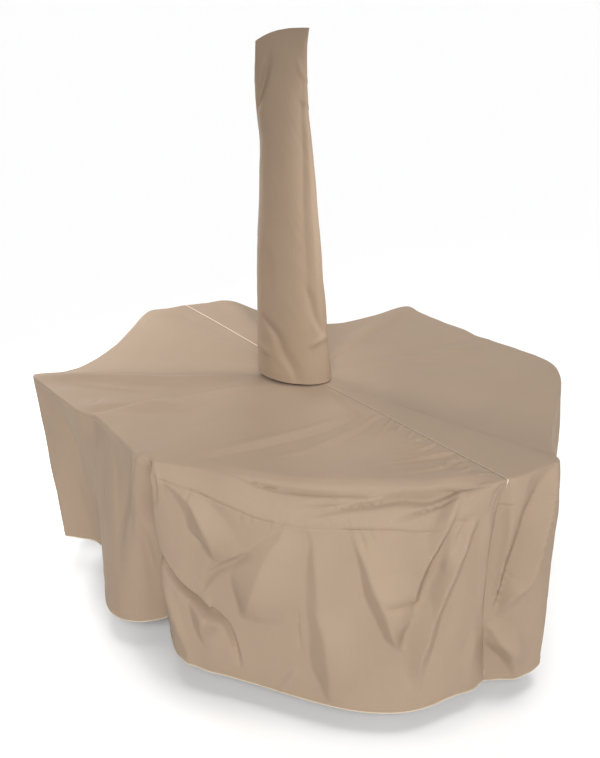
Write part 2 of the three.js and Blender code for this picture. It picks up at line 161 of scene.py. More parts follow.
RIGHT_STATIONS: tuple[Row, ...] = (
    (1190, 0, 915, 97, -12, 1153, 0, 92, 0),
    (1192, 100, 917, 92, 12, 1200, 98, 98, 0),
    (1190, 240, 919, 98, 8, 1204, 234, 101, 0),
    (1107, 300, 908, 70, 4, 1096, 304, 106, -2),
    (944, 470, 899, 60, 2, 925, 468, 112, -4),
    (784, 660, 904, 50, 2, 765, 648, 120, -4),
    (686, 780, 911, 40, 4, 670, 762, 128, -2),
    (575, 886, 920, 25, 8, 560, 865, 136, 0),
    (460, 942, 921, 12, 6, 470, 900, 142, 0),
    (277, 946, 919, 12, 6, 285, 950, 136, 0),
    (100, 938, 918, 12, 6, 90, 925, 140, 0),
    (20, 934, 914, 12, 6, -5, 860, 148, -12),
    (-60, 938, 918, 12, 6, -100, 880, 150, -8),
    (-240, 940, 914, 12, 6, -230, 955, 140, 0),
    (-400, 938, 917, 12, 6, -400, 900, 150, 0),
    (-497, 930, 920, 20, 10, -520, 900, 150, 8),
    (-590, 805, 872, 60, 30, -640, 810, 140, 0),
    (-715, 640, 822, 90, 50, -770, 660, 125, 0),
    (-860, 470, 826, 90, 50, -930, 500, 118, 0),
    (-985, 335, 878, 80, 35, -1030, 350, 116, 0),
    (-1063, 235, 918, 70, 12, -1080, 235, 120, 2),
    (-1092, 110, 921, 70, 8, -1095, 110, 114, 4),
    (-1107, 0, 922, 70, 4, -1098, 0, 112, 4),
)

# Folds of the lap and skirt. A row holds how far round the rim from the near seam, how far below the
# belt seam, the rise, and the widths towards the near seam and away from it.
LEFT_FOLDS: tuple[Fold, ...] = (
    Fold("corner roll", (
        (1240, -70, 0, 60, 80), (1262, 40, 16, 70, 90), (1322, 191, 26, 75, 95),
        (1386, 397, 28, 75, 100), (1410, 585, 20, 75, 100), (1422, 770, 12, 75, 100)),
        crest=0.5, foot=0.4, steeper=1.4),
    Fold("deep valley beside the roll", (
        (1222, -60, 0, 22, 26), (1230, -10, -40, 26, 40), (1240, 98, -70, 27, 50),
        (1258, 198, -76, 28, 54), (1268, 270, -68, 28, 50), (1244, 316, -62, 27, 44),
        (1212, 352, -56, 27, 38), (1168, 396, -46, 26, 32), (1102, 428, -38, 26, 30),
        (1034, 444, -34, 25, 28), (994, 456, -30, 24, 28), (955, 476, -26, 22, 26),
        (932, 518, -20, 20, 24), (910, 588, -10, 18, 20), (900, 635, 0, 14, 14)),
        crest=0.12, foot=0.12, far_foot=0.5, steeper=1.25),
    Fold("valley straight down", (
        (1262, 250, 0, 40, 36), (1272, 300, -20, 50, 36), (1285, 423, -30, 60, 36),
        (1320, 618, -30, 66, 36), (1335, 770, -28, 66, 36)), crest=0.15, foot=0.4, steeper=1.5),
    Fold("ridge beside it", (
        (1235, 380, 0, 30, 30), (1222, 430, 8, 40, 50), (1203, 504, 13, 44, 60), (1176, 590, 13, 44, 56),
        (1140, 657, 8, 40, 50), (1130, 720, 4, 36, 40), (1128, 770, 3, 36, 40)),
        crest=0.15, foot=0.4, far_foot=0.2),
    Fold("loop beside the roll", (
        (1198, -40, 0, 14, 14), (1180, 0, 8, 16, 10), (1180, 60, 8, 18, 10), (1196, 118, 0, 14, 10)),
        crest=0.3, foot=0.5, far_foot=0.3, steeper=1.25),
    Fold("upper facet", (
        (1168, 0, 0, 14, 8), (1120, 14, 12, 34, 32), (1072, 34, 27, 54, 66), (1028, 62, 42, 68, 96),
        (998, 96, 50, 80, 108), (978, 136, 47, 86, 100), (972, 176, 34, 80, 82), (980, 212, 14, 56, 54),
        (986, 234, 0, 40, 36)), crest=0.07, foot=0.35, far_foot=0.08),
    Fold("slanting facet", (
        (735, 6, 3, 60, 8), (752, 55, 14, 110, 24), (778, 98, 25, 150, 42), (802, 148, 34, 170, 60),
        (820, 213, 47, 175, 84), (840, 282, 50, 165, 92), (860, 342, 36, 120, 66),
        (882, 390, 12, 50, 26), (898, 408, 0, 30, 10)), crest=0.07, foot=0.3, far_foot=0.08),
    Fold("crease beside it", (
        (855, 135, 0, 18, 12), (882, 169, -7, 24, 16), (944, 235, -10, 26, 18), (992, 289, -9, 26, 18),
        (1022, 343, -7, 24, 16), (1047, 383, 0, 18, 12)), crest=0.2, foot=0.5, steeper=1.25),
    Fold("small crease", (
        (986, 240, 0, 12, 12), (1000, 275, -4, 14, 13), (1024, 320, -4, 14, 13), (1043, 368, 0, 12, 12)),
        crest=0.2, foot=0.5),
    Fold("lower facet", (
        (1008, 456, 14, 30, 70), (1018, 486, 30, 56, 96), (1032, 524, 25, 56, 74),
        (1036, 556, 14, 50, 52), (1028, 608, 0, 30, 20)),
        crest=0.08, foot=0.3, far_foot=0.08, steeper=1.25),
    Fold("upright facet", (
        (658, 4, 2, 60, 8), (646, 56, 8, 80, 12), (645, 105, 16, 90, 23), (641, 173, 24, 100, 35),
        (641, 244, 26, 110, 39), (645, 302, 25, 115, 36), (636, 360, 30, 120, 43),
        (626, 405, 37, 120, 52), (624, 457, 39, 120, 55), (623, 535, 35, 100, 50),
        (630, 600, 18, 60, 24), (634, 650, 0, 40, 8)), crest=0.08, foot=0.3, far_foot=0.08),
    Fold("thin crease", (
        (715, 260, 0, 12, 10), (708, 330, -4, 12, 10), (705, 426, -5, 12, 10), (700, 480, 0, 12, 10)),
        crest=0.2, foot=0.5, steeper=1.25),
    Fold("hem crease", (
        (712, 540, 0, 12, 12), (734, 585, 5, 16, 12), (768, 651, 4, 16, 12), (778, 680, 0, 12, 10)),
        crest=0.2, foot=0.5),
    Fold("pucker one", (
        (1067, -12, 0, 9, 9), (1071, 6, -5, 9, 9), (1077, 30, -4, 9, 9), (1080, 46, 0, 8, 8))),
    Fold("pucker two", (
        (884, -12, 0, 9, 9), (888, 6, -5, 9, 9), (892, 28, -4, 9, 9), (895, 42, 0, 8, 8))),
    Fold("pucker three", (
        (848, -10, 0, 9, 9), (852, 6, -5, 9, 9), (857, 24, -3, 9, 9), (860, 36, 0, 8, 8))),
    Fold("pucker four", (
        (781, -10, 0, 9, 9), (784, 6, -5, 9, 9), (790, 26, -3, 9, 9), (793, 38, 0, 8, 8))),
    Fold("pucker five", (
        (497, -8, 0, 9, 9), (494, 8, -4, 9, 9), (486, 40, -5, 10, 10), (478, 74, 0, 9, 9))),
    Fold("pucker six", ((462, -8, 0, 8, 8), (458, 6, -4, 8, 8), (452, 30, -4, 9, 9), (448, 48, 0, 8, 8))),
    Fold("pucker seven", ((432, -6, 0, 8, 8), (430, 8, -4, 8, 8), (426, 24, 0, 8, 8))),
    Fold("lap, upper crease", (
        (940, -96, 0, 8, 10), (848, -100, -7, 9, 12), (744, -100, -9, 9, 13), (628, -100, -8, 9, 13),
        (530, -99, -6, 9, 12), (398, -99, -3, 9, 11), (340, -103, 0, 8, 10)),
        crest=0.1, foot=0.2, far_foot=0.4, steeper=1.4),
    Fold("lap, slanting crease", (
        (640, -44, 0, 8, 12), (617, -50, -4, 9, 14), (545, -66, -9, 11, 18), (463, -78, -12, 13, 22),
        (382, -92, -14, 18, 26), (320, -97, -15, 24, 28), (250, -95, -15, 28, 30),
        (190, -90, -14, 28, 28), (120, -90, -11, 24, 24), (60, -92, -4, 14, 16), (30, -94, 0, 9, 12)),
        crest=0.1, foot=0.2, far_foot=0.5, steeper=1.4),
    Fold("lap, soft crease", (
        (680, -74, 0, 9, 12), (626, -77, -5, 11, 14), (562, -81, -6, 11, 14), (505, -85, 0, 9, 12)),
        crest=0.15, foot=0.4, steeper=1.4),
    Fold("lap, soft fold", (
        (700, -48, 0, 14, 14), (671, -45, -3, 15, 15), (618, -47, -3, 14, 14), (590, -50, 0, 12, 12)),
        crest=0.2, foot=0.5),
    Fold("lap, lower crease", (
        (400, -32, 0, 8, 10), (348, -44, -5, 9, 12), (315, -58, -7, 9, 13), (263, -69, -8, 9, 13),
        (214, -67, -7, 9, 12), (169, -66, -3, 8, 10), (150, -66, 0, 8, 10)),
        crest=0.1, foot=0.3, far_foot=0.5, steeper=1.4),
    Fold("pocket, left arm", (
        (522, 8, 2, 120, 5), (506, 66, 9, 150, 13), (491, 100, 16, 160, 23), (477, 137, 23, 165, 32),
        (469, 174, 27, 170, 37), (455, 212, 34, 170, 48), (436, 252, 38, 165, 55),
        (422, 301, 34, 140, 49), (410, 347, 30, 100, 42), (399, 382, 24, 50, 38), (384, 417, 7, 28, 16),
        (357, 437, 0, 18, 8)), crest=0.07, foot=0.3, far_foot=0.08, steeper=1.25),
    Fold("pocket, right arm", (
        (158, -92, 0, 10, 30), (167, -72, 6, 14, 40), (184, -41, 11, 18, 50), (196, -8, 15, 20, 60),
        (215, 30, 18, 22, 70), (240, 67, 18, 24, 80), (273, 107, 17, 24, 80), (296, 157, 15, 22, 70),
        (314, 210, 11, 20, 50), (319, 244, 5, 14, 30), (320, 258, 0, 10, 20)),
        crest=0.08, foot=0.1, far_foot=0.4, steeper=1.6),
    Fold("pocket, bottom", (
        (438, 240, 0, 16, 14), (425, 253, -5, 26, 20), (406, 267, -8, 34, 22), (367, 266, -8, 36, 22),
        (333, 263, -7, 34, 22), (312, 258, -6, 26, 20), (296, 246, 0, 16, 14)), crest=0.15, foot=0.5),
    Fold("strip beside the long band", (
        (168, 2, 0, 16, 18), (171, 14, 5, 20, 20), (183, 48, 9, 25, 24), (193, 90, 11, 28, 26),
        (203, 130, 8, 24, 26), (210, 176, 0, 14, 16)), crest=0.1, foot=0.15, far_foot=0.4, steeper=1.5),
    Fold("cuff", (
        (186, 44, 0, 8, 8), (180, 30, -5, 8, 9), (174, 14, -6, 8, 9), (159, 7, -6, 8, 9),
        (145, 17, -6, 8, 9), (128, 13, -5, 8, 9), (108, 8, 0, 8, 8)), crest=0.15, foot=0.5),
    Fold("long slanting band", (
        (116, 6, 0, 26, 26), (120, 19, 8, 34, 30), (143, 59, 15, 40, 34), (160, 106, 22, 46, 40),
        (179, 141, 27, 50, 50), (190, 184, 30, 47, 60), (207, 222, 32, 47, 70), (228, 266, 33, 51, 76),
        (263, 320, 33, 60, 80), (287, 391, 30, 62, 80), (308, 462, 20, 52, 60), (311, 539, 6, 30, 40),
        (304, 599, 0, 20, 30)), crest=0.08, foot=0.12, far_foot=0.4, steeper=1.6),
    Fold("near side of the end seam", (
        (50, 0, 0, 20, 40), (37, 60, 8, 34, 56), (28, 112, 10, 28, 60), (20, 194, 9, 20, 50),
        (16, 277, 8, 16, 44), (15, 365, 6, 15, 38), (14, 425, 0, 12, 30)),
        crest=0.1, foot=0.1, far_foot=0.5, steeper=1.25),
    Fold("low beside the end seam", (
        (39, 462, 0, 20, 30), (62, 523, 8, 50, 40), (76, 582, 10, 62, 50), (80, 650, 8, 66, 54),
        (82, 770, 5, 66, 56)), crest=0.1, foot=0.15, far_foot=0.4),
    Fold("crossed crease one", (
        (9, -90, 0, 8, 8), (25, -77, -4, 9, 9), (39, -46, -5, 9, 9), (47, -9, 0, 8, 8)),
        crest=0.2, foot=0.4),
    Fold("crossed crease two", (
        (12, -84, 0, 7, 7), (13, -50, -4, 8, 8), (20, -10, -4, 8, 8), (28, 10, 0, 8, 8)),
        crest=0.2, foot=0.4),
    Fold("tall wall, upper", (
        (1640, 0, 0, 90, 90), (1650, 160, 5, 110, 110), (1670, 420, 4, 110, 110),
        (1690, 760, 0, 110, 110))),
    Fold("streak one", (
        (1500, 0, 0, 20, 30), (1505, 120, 4, 30, 40), (1512, 320, 4, 36, 46), (1520, 520, 0, 30, 40)),
        crest=0.2, foot=0.4, steeper=1.6),
    Fold("streak two", (
        (1590, 20, 0, 20, 24), (1600, 150, -4, 26, 30), (1612, 330, -5, 30, 36), (1620, 560, 0, 26, 30)),
        crest=0.2, foot=0.4, steeper=1.6),
    Fold("gap fold", (
        (1730, -10, 0, 80, 60), (1738, 90, -8, 100, 80), (1760, 300, -12, 120, 90),
        (1790, 560, -12, 120, 90), (1800, 760, -8, 120, 90)), crest=0.5, foot=0.6),
    Fold("tall wall, far", (
        (1930, 40, 0, 80, 80), (1915, 260, -13, 90, 90), (1890, 520, -15, 90, 90),
        (1880, 760, -14, 90, 90))),
    Fold("diagonal valley on the far wall", (
        (2140, -6, 0, 60, 50), (2067, 54, -9, 120, 80), (1990, 122, -13, 130, 90),
        (1951, 189, -13, 120, 90), (1954, 318, -8, 100, 80), (1960, 420, 0, 60, 50)),
        crest=0.1, foot=0.5, steeper=1.1),
    Fold("far quarter fold", (
        (2330, 0, 0, 100, 50), (2360, 150, 24, 110, 55), (2390, 300, 32, 120, 60),
        (2420, 760, 28, 120, 60)), crest=0.15, foot=0.4),
    Fold("far quarter valley", (
        (2620, -20, 0, 50, 70), (2610, 150, -24, 60, 80), (2600, 300, -30, 64, 90),
        (2560, 760, -26, 64, 90)), crest=0.15, foot=0.4),
    Fold("far quarter roll", (
        (2820, -20, 0, 70, 90), (2805, 150, 22, 80, 100), (2790, 300, 28, 84, 104),
        (2760, 760, 26, 84, 104)), crest=0.4, foot=0.4),
    Fold("far quarter crease", (
        (2480, 40, 0, 30, 24), (2500, 200, 8, 50, 26), (2540, 420, 10, 60, 30), (2590, 640, 0, 50, 26)),
        crest=0.1, foot=0.4),
    Fold("far end valley", (
        (3010, 0, 0, 60, 50), (3020, 160, -18, 76, 58), (3040, 400, -24, 80, 60),
        (3060, 760, -20, 80, 60)), crest=0.2, foot=0.4),
    Fold("far end fold", (
        (3215, 0, 0, 30, 60), (3220, 150, 9, 36, 80), (3235, 400, 12, 40, 90), (3250, 700, 0, 40, 80)),
        crest=0.15, foot=0.4),
)
RIGHT_FOLDS: tuple[Fold, ...] = (
    Fold("narrow strip beside the seam", (
        (36, -96, 0, 20, 120), (36, -74, 9, 26, 130), (36, -20, 14, 28, 110), (41, 34, 17, 26, 84),
        (51, 92, 18, 28, 58), (54, 150, 17, 28, 44), (49, 207, 14, 22, 33), (44, 288, 11, 18, 20),
        (37, 350, 7, 12, 13), (27, 398, 0, 8, 8)), crest=0.08, foot=0.3, far_foot=0.1, steeper=1.25),
    Fold("valley beside the bright plane", (
        (223, -98, 0, 60, 30), (161, -46, -14, 80, 50), (138, 14, -18, 70, 50), (117, 64, -18, 55, 52),
        (98, 153, -16, 44, 52), (75, 243, -13, 32, 56), (61, 298, -9, 20, 50), (46, 377, -4, 12, 30),
        (35, 417, 0, 8, 16)), crest=0.08, foot=0.3, far_foot=0.1, steeper=1.4),
    Fold("crest of the bright plane", (
        (232, -96, 0, 20, 10), (212, -50, 10, 40, 14), (191, 2, 20, 50, 16), (168, 87, 25, 58, 19),
        (150, 156, 29, 55, 22), (140, 229, 31, 60, 26), (122, 301, 31, 62, 46), (87, 340, 25, 38, 52),
        (64, 393, 14, 22, 40), (45, 449, 0, 10, 16)), crest=0.08, foot=0.1, far_foot=0.3, steeper=1.4),
    Fold("broad side of the bright plane", (
        (232, 0, 0, 60, 70), (200, 60, 8, 70, 110), (163, 150, 13, 80, 130), (129, 236, 14, 75, 140),
        (105, 330, 14, 60, 140), (100, 450, 12, 60, 140), (104, 760, 10, 60, 140)),
        crest=0.15, foot=0.4, steeper=1.3),
    Fold("low facet", (
        (6, 484, 0, 8, 40), (31, 500, 10, 26, 60), (49, 538, 26, 46, 80), (78, 587, 26, 45, 90),
        (87, 632, 16, 28, 80), (96, 690, 6, 13, 60), (98, 725, 0, 10, 50)),
        crest=0.08, foot=0.08, far_foot=0.4, steeper=1.69),
    Fold("near quarter fold", (
        (420, -20, 0, 50, 90), (430, 120, 8, 66, 116), (440, 300, 18, 70, 120), (455, 760, 20, 70, 120)),
        crest=0.15, foot=0.4),
    Fold("near quarter valley", (
        (610, -20, 0, 70, 50), (600, 150, -18, 86, 58), (590, 300, -24, 90, 60), (570, 760, -20, 90, 60)),
        crest=0.15, foot=0.4),
    Fold("near quarter crease", (
        (740, 10, 0, 40, 24), (725, 150, 9, 60, 28), (690, 380, 11, 70, 30), (650, 620, 0, 60, 26)),
        crest=0.1, foot=0.4),
    Fold("third peak roll", (
        (980, 0, 0, 60, 90), (992, 150, 16, 66, 104), (1010, 350, 22, 70, 110), (1040, 760, 20, 70, 110)),
        crest=0.4, foot=0.4),
    Fold("third peak crease", (
        (1105, 20, 0, 30, 20), (1118, 160, 7, 44, 24), (1130, 400, 8, 50, 26), (1140, 640, 0, 44, 24)),
        crest=0.1, foot=0.4),
    Fold("third peak valley", (
        (1250, 20, 0, 80, 70), (1256, 200, -14, 96, 78), (1260, 400, -17, 100, 80),
        (1270, 760, -15, 100, 80))),
    Fold("gap valley", (
        (1560, -10, 0, 60, 60), (1557, 150, -20, 78, 78), (1555, 350, -24, 80, 80),
        (1550, 760, -20, 80, 80)), crest=0.2, foot=0.4),
    Fold("fourth peak roll", (
        (1790, 10, 0, 80, 100), (1785, 200, 14, 88, 108), (1780, 400, 17, 90, 110),
        (1760, 760, 15, 90, 110)), crest=0.4, foot=0.4),
    Fold("fourth peak crease", (
        (1930, 20, 0, 24, 30), (1925, 160, 7, 28, 44), (1910, 400, 8, 30, 50), (1895, 640, 0, 26, 44)),
        crest=0.1, foot=0.4),
    Fold("far quarter fold", (
        (2290, -30, 0, 50, 90), (2298, 130, 24, 66, 114), (2310, 300, 30, 70, 120),
        (2340, 760, 26, 70, 120)), crest=0.15, foot=0.4),
    Fold("far quarter valley", (
        (2520, -20, 0, 70, 50), (2525, 150, -22, 86, 58), (2530, 300, -28, 90, 60),
        (2550, 760, -24, 90, 60)), crest=0.15, foot=0.4),
    Fold("far quarter roll", (
        (2720, -20, 0, 90, 66), (2730, 150, 20, 104, 76), (2740, 300, 26, 110, 80),
        (2760, 760, 22, 110, 80)), crest=0.4, foot=0.4),
    Fold("far quarter crease", (
        (2420, 30, 0, 30, 22), (2412, 170, 8, 46, 26), (2400, 400, 10, 50, 28), (2390, 640, 0, 40, 24)),
        crest=0.1, foot=0.4),
)

# Folds of the top. The paths are in plan, and near is to the left of the way they run.
TOP_FOLDS: tuple[Fold, ...] = (
    Fold("ridge from the first peak", (
        (-549, -982, 3, 90, 70), (-420, -829, 11, 130, 90), (-298, -658, 13, 140, 90),
        (-191, -472, 10, 120, 80), (-120, -250, 4, 90, 70), (-98, -194, 0, 80, 60)),
        crest=0.06, foot=0.6, far_foot=0.5, steeper=1.4),
    Fold("line below that ridge", (
        (-410, -905, 0, 40, 24), (-340, -850, 4, 50, 26), (-265, -780, 5, 60, 30),
        (-190, -700, 4, 60, 30), (-130, -571, 0, 50, 26)), crest=0.1, foot=0.5),
    Fold("ledge from the gap", (
        (-150, -930, 4, 80, 40), (-108, -862, 14, 150, 66), (-65, -777, 17, 190, 80),
        (15, -668, 17, 200, 70), (46, -628, 14, 200, 40), (28, -521, 10, 190, 26), (8, -375, 7, 160, 24),
        (-4, -250, 0, 90, 20)), crest=0.06, foot=0.5, far_foot=0.1),
    Fold("crease at the gap", (
        (-150, -930, 0, 16, 12), (-146, -895, -5, 18, 14), (-170, -860, -4, 18, 14),
        (-215, -840, 0, 14, 12)), crest=0.2, foot=0.5),
    Fold("ridge from the second peak", (
        (480, -860, 0, 40, 30), (472, -745, 6, 50, 36), (463, -595, 10, 54, 42), (455, -384, 14, 56, 48),
        (455, -208, 14, 46, 40), (452, -110, 12, 32, 28), (458, -50, 8, 20, 18), (468, -4, 4, 12, 10)),
        crest=0.1, foot=0.5, far_foot=0.12),
    Fold("ridge beside it", (
        (575, -560, 0, 24, 20), (588, -386, 6, 34, 28), (572, -262, 11, 40, 36), (560, -180, 12, 36, 32),
        (540, -89, 10, 22, 22), (530, -40, 7, 14, 14), (527, -4, 4, 11, 10)),
        crest=0.1, foot=0.5, far_foot=0.12),
    Fold("seam wrinkle one", (
        (580, -5, 3, 10, 10), (604, -36, 6, 11, 11), (624, -70, 6, 13, 12), (645, -118, 3, 13, 12),
        (670, -160, 0, 11, 10)), crest=0.15, foot=0.35, steeper=1.5),
    Fold("seam wrinkle two", (
        (646, -5, 3, 9, 9), (660, -36, 5, 10, 9), (678, -66, 0, 10, 9)),
        crest=0.2, foot=0.4, steeper=1.5),
    Fold("seam wrinkle three", (
        (712, -5, 3, 9, 9), (728, -42, 5, 10, 9), (748, -76, 0, 10, 9)),
        crest=0.2, foot=0.4, steeper=1.5),
    Fold("seam wrinkle four", (
        (786, -5, 3, 9, 9), (782, -35, 6, 11, 10), (773, -79, 5, 13, 11), (752, -130, 0, 11, 10)),
        crest=0.15, foot=0.35, steeper=1.5),
    Fold("seam wrinkle five", (
        (838, -5, 3, 9, 9), (845, -51, 7, 12, 11), (846, -90, 6, 14, 12), (822, -130, 4, 14, 12),
        (780, -190, 0, 12, 10)), crest=0.15, foot=0.35, steeper=1.5),
    Fold("seam wrinkle six", (
        (932, -6, 3, 10, 10), (926, -52, 9, 17, 14), (911, -100, 9, 17, 14), (886, -145, 7, 16, 14),
        (856, -188, 6, 16, 14), (834, -230, 4, 15, 13), (787, -308, 0, 13, 11)),
        crest=0.12, foot=0.3, steeper=1.5),
    Fold("seam wrinkle seven", (
        (1000, -6, 3, 10, 10), (984, -48, 8, 14, 12), (989, -86, 9, 16, 13), (1005, -118, 8, 16, 13),
        (1000, -152, 5, 15, 12), (975, -190, 0, 12, 11)), crest=0.12, foot=0.3, steeper=1.5),
    Fold("seam wrinkle eight", (
        (1008, -118, 0, 14, 12), (990, -148, 5, 17, 14), (978, -175, 6, 18, 15), (958, -210, 5, 18, 15),
        (925, -262, 0, 14, 12)), crest=0.15, foot=0.35, steeper=1.5),
    Fold("seam wrinkle nine", (
        (1040, -5, 2, 9, 9), (1022, -45, 4, 11, 10), (1010, -88, 0, 11, 10)),
        crest=0.15, foot=0.4, steeper=1.5),
    Fold("seam wrinkle ten", (
        (1066, -5, 3, 9, 9), (1063, -52, 7, 13, 11), (1070, -84, 5, 13, 11), (1060, -116, 0, 11, 10)),
        crest=0.12, foot=0.35, steeper=1.5),
    Fold("seam wrinkle eleven", (
        (1134, -5, 2, 9, 9), (1122, -50, 5, 12, 10), (1112, -84, 0, 11, 10)),
        crest=0.15, foot=0.4, steeper=1.5),
    Fold("seam wrinkle on the right", (
        (1064, 4, 0, 9, 9), (1082, 18, 3, 10, 9), (1106, 34, 0, 9, 9)), crest=0.2, foot=0.4),
    Fold("edge of the near quarter", (
        (1160, -30, 2, 26, 40), (1118, -84, 12, 34, 120), (1062, -190, 20, 40, 190),
        (980, -291, 22, 42, 230), (860, -450, 22, 42, 250), (776, -552, 20, 42, 230),
        (618, -696, 12, 38, 170), (512, -795, 0, 30, 80)), crest=0.08, foot=0.3, far_foot=0.6),
    Fold("crease in the near quarter", (
        (1168, -40, 0, 14, 14), (1150, -100, -5, 18, 16), (1109, -179, -6, 20, 16),
        (1062, -238, 0, 18, 14)), crest=0.2, foot=0.5),
    Fold("ridge from the fourth peak", (
        (-460, 910, 4, 110, 130), (-314, 629, 12, 120, 170), (-200, 400, 9, 100, 140),
        (-117, 230, 3, 80, 100), (-80, 160, 0, 60, 80)), crest=0.12, foot=0.6),
    Fold("valley below the fourth peak", (
        (74, 66, 0, 60, 80), (104, 193, -8, 160, 160), (170, 366, -16, 260, 240),
        (230, 537, -18, 300, 260), (277, 663, -13, 240, 200), (310, 780, 0, 100, 100)),
        crest=0.05, foot=0.6),
    Fold("wrinkle to the third peak", (
        (-12, 288, 0, 20, 16), (80, 410, 3, 26, 20), (160, 505, 3, 26, 20), (226, 592, 0, 20, 16)),
        crest=0.2, foot=0.5, steeper=1.4),
    Fold("wrinkle to the gap", (
        (2, 471, 0, 20, 16), (80, 560, 3, 24, 18), (168, 644, 0, 20, 16)),
        crest=0.2, foot=0.5, steeper=1.4),
    Fold("wrinkle to the rim", (
        (86, 631, 0, 20, 16), (150, 730, 3, 26, 20), (221, 830, 0, 20, 16)),
        crest=0.2, foot=0.5, steeper=1.4),
    Fold("ridge from the far end peak", (
        (-1090, -215, 0, 90, 90), (-1010, -215, 7, 120, 110), (-700, -160, 8, 130, 110),
        (-400, -100, 5, 110, 100), (-250, -70, 0, 80, 80)), crest=0.3, foot=0.6),
    Fold("ridge from the far end, right", (
        (-1050, 225, 0, 80, 80), (-900, 190, 7, 110, 110), (-560, 110, 6, 110, 110),
        (-260, 50, 0, 70, 70)), crest=0.3, foot=0.6),
)

# Sections of the sleeve: the height above the ground, how far the centre leans over, the half width and
# half depth, and the direction of the wide side in degrees from +X
SLEEVE_SECTIONS: tuple[Row, ...] = (
    (908, -6, 156, 100, 42),
    (985, -10, 153, 98, 42),
    (1065, -15, 149, 96, 43),
    (1150, -18, 145, 94, 43),
    (1237, -22, 141, 92, 44),
    (1340, -27, 135, 88, 45),
    (1444, -30, 129, 85, 46),
    (1550, -33, 122, 82, 47),
    (1650, -36, 114, 78, 48),
    (1760, -39, 107, 74, 49),
    (1875, -45, 101, 67, 50),
    (1985, -57, 99, 59, 51),
    (2090, -63, 99, 47, 52),
    (2180, -64, 98, 31, 53),
    (2235, -62, 98, 16, 54),
    (2283, -58, 100, 3.2, 55),
)

# Folds of the sleeve: how far round from its right side in degrees, the height above the ground, and the
# rise and widths in millimetres
SLEEVE_FOLDS: tuple[Fold, ...] = (
    Fold("wedge at the top left", (
        (112, 2230, 0, 30, 20), (122, 2153, 7, 44, 30), (136, 2080, 9, 46, 30), (153, 2017, 6, 40, 24),
        (163, 1990, 0, 26, 18)), crest=0.12, foot=0.4, steeper=1.7),
    Fold("notch at the right", (
        (44, 2040, 0, 14, 12), (34, 2022, -5, 18, 12), (18, 2008, -6, 20, 13), (2, 1998, -3, 18, 13),
        (-12, 1990, 0, 14, 10)), crest=0.12, foot=0.5),
    Fold("dent above the notch", (
        (52, 2180, 0, 20, 20), (40, 2130, -5, 30, 26), (24, 2102, -6, 32, 24), (8, 2094, -3, 28, 20),
        (-6, 2090, 0, 20, 16)), crest=0.15, foot=0.5),
    Fold("long edge at the right", (
        (30, 2110, 0, 20, 60), (36, 2040, 9, 26, 110), (38, 1990, 15, 30, 140), (42, 1900, 22, 36, 170),
        (46, 1780, 26, 42, 190), (50, 1640, 28, 48, 200), (51, 1465, 28, 50, 210),
        (50, 1320, 26, 50, 210), (50, 1200, 20, 50, 200), (50, 1090, 12, 46, 160),
        (50, 1000, 5, 40, 120), (50, 930, 0, 30, 80)), crest=0.08, foot=0.3, far_foot=0.6, steeper=0.4),
    Fold("side pinch", (
        (54, 1058, 0, 14, 12), (46, 1076, -6, 20, 16), (30, 1092, -8, 24, 20), (16, 1095, -6, 24, 20),
        (2, 1086, -2, 22, 18), (-8, 1078, 0, 14, 12)), crest=0.12, foot=0.5),
    Fold("above the pinch", (
        (58, 1330, 0, 20, 20), (46, 1270, 5, 26, 26), (38, 1190, 7, 30, 30), (24, 1130, 6, 30, 24),
        (14, 1112, 0, 20, 16)), crest=0.15, foot=0.5),
    Fold("slanting fold, low left", (
        (142, 1195, 0, 24, 14), (131, 1161, 7, 34, 16), (110, 1113, 11, 44, 20), (97, 1033, 12, 48, 22),
        (84, 973, 10, 44, 20), (78, 925, 5, 40, 18), (76, 900, 2, 40, 18)), crest=0.08, foot=0.4),
    Fold("soft fold, low left", (
        (158, 1060, 0, 30, 24), (135, 1040, -5, 36, 26), (112, 1010, 0, 24, 20)), crest=0.2, foot=0.5),
    Fold("soft fold, middle", (
        (140, 1500, 0, 30, 40), (128, 1420, 5, 50, 60), (122, 1300, 5, 50, 60), (120, 1210, 0, 40, 50))),
    Fold("behind, upper", (
        (215, 2060, 0, 30, 30), (228, 1960, 8, 44, 40), (238, 1800, 8, 46, 44), (240, 1620, 0, 40, 40)),
        crest=0.15, foot=0.5),
    Fold("behind, middle", (
        (300, 1720, 0, 30, 30), (288, 1600, -8, 44, 40), (280, 1420, -8, 46, 44), (276, 1260, 0, 40, 40)),
        crest=0.15, foot=0.5),
    Fold("behind, low", (
        (250, 1210, 0, 30, 30), (256, 1120, 9, 44, 34), (266, 1020, 11, 48, 36), (272, 890, 5, 48, 36)),
        crest=0.12, foot=0.4),
    Fold("behind, pinch", (
        (215, 1130, 0, 20, 16), (228, 1110, -8, 28, 24), (244, 1104, -6, 26, 20), (256, 1110, 0, 16, 14)),
        crest=0.15, foot=0.5),
)


def linear(colour: str) -> tuple[float, float, float, float]:
    """Turns an sRGB hex colour into linear values.

    Args:
        colour: the colour as "#rrggbb".

    Returns:
        Red, green, blue and an alpha of one.
    """
    parts = [int(colour[k : k + 2], 16) / 255 for k in (1, 3, 5)]
    values = [p / 12.92 if p <= 0.04045 else ((p + 0.055) / 1.055) ** 2.4 for p in parts]
    return (values[0], values[1], values[2], 1.0)


def smoothstep(t: Array | float) -> Array:
    """Eases a value from nought to one, with a level start and end."""
    c = np.clip(t, 0.0, 1.0)
    return c * c * (3.0 - 2.0 * c)


def mix(a: Any, b: Any, t: Any) -> Any:
    """Goes from a to b as t goes from nought to one."""
    return a + (b - a) * t


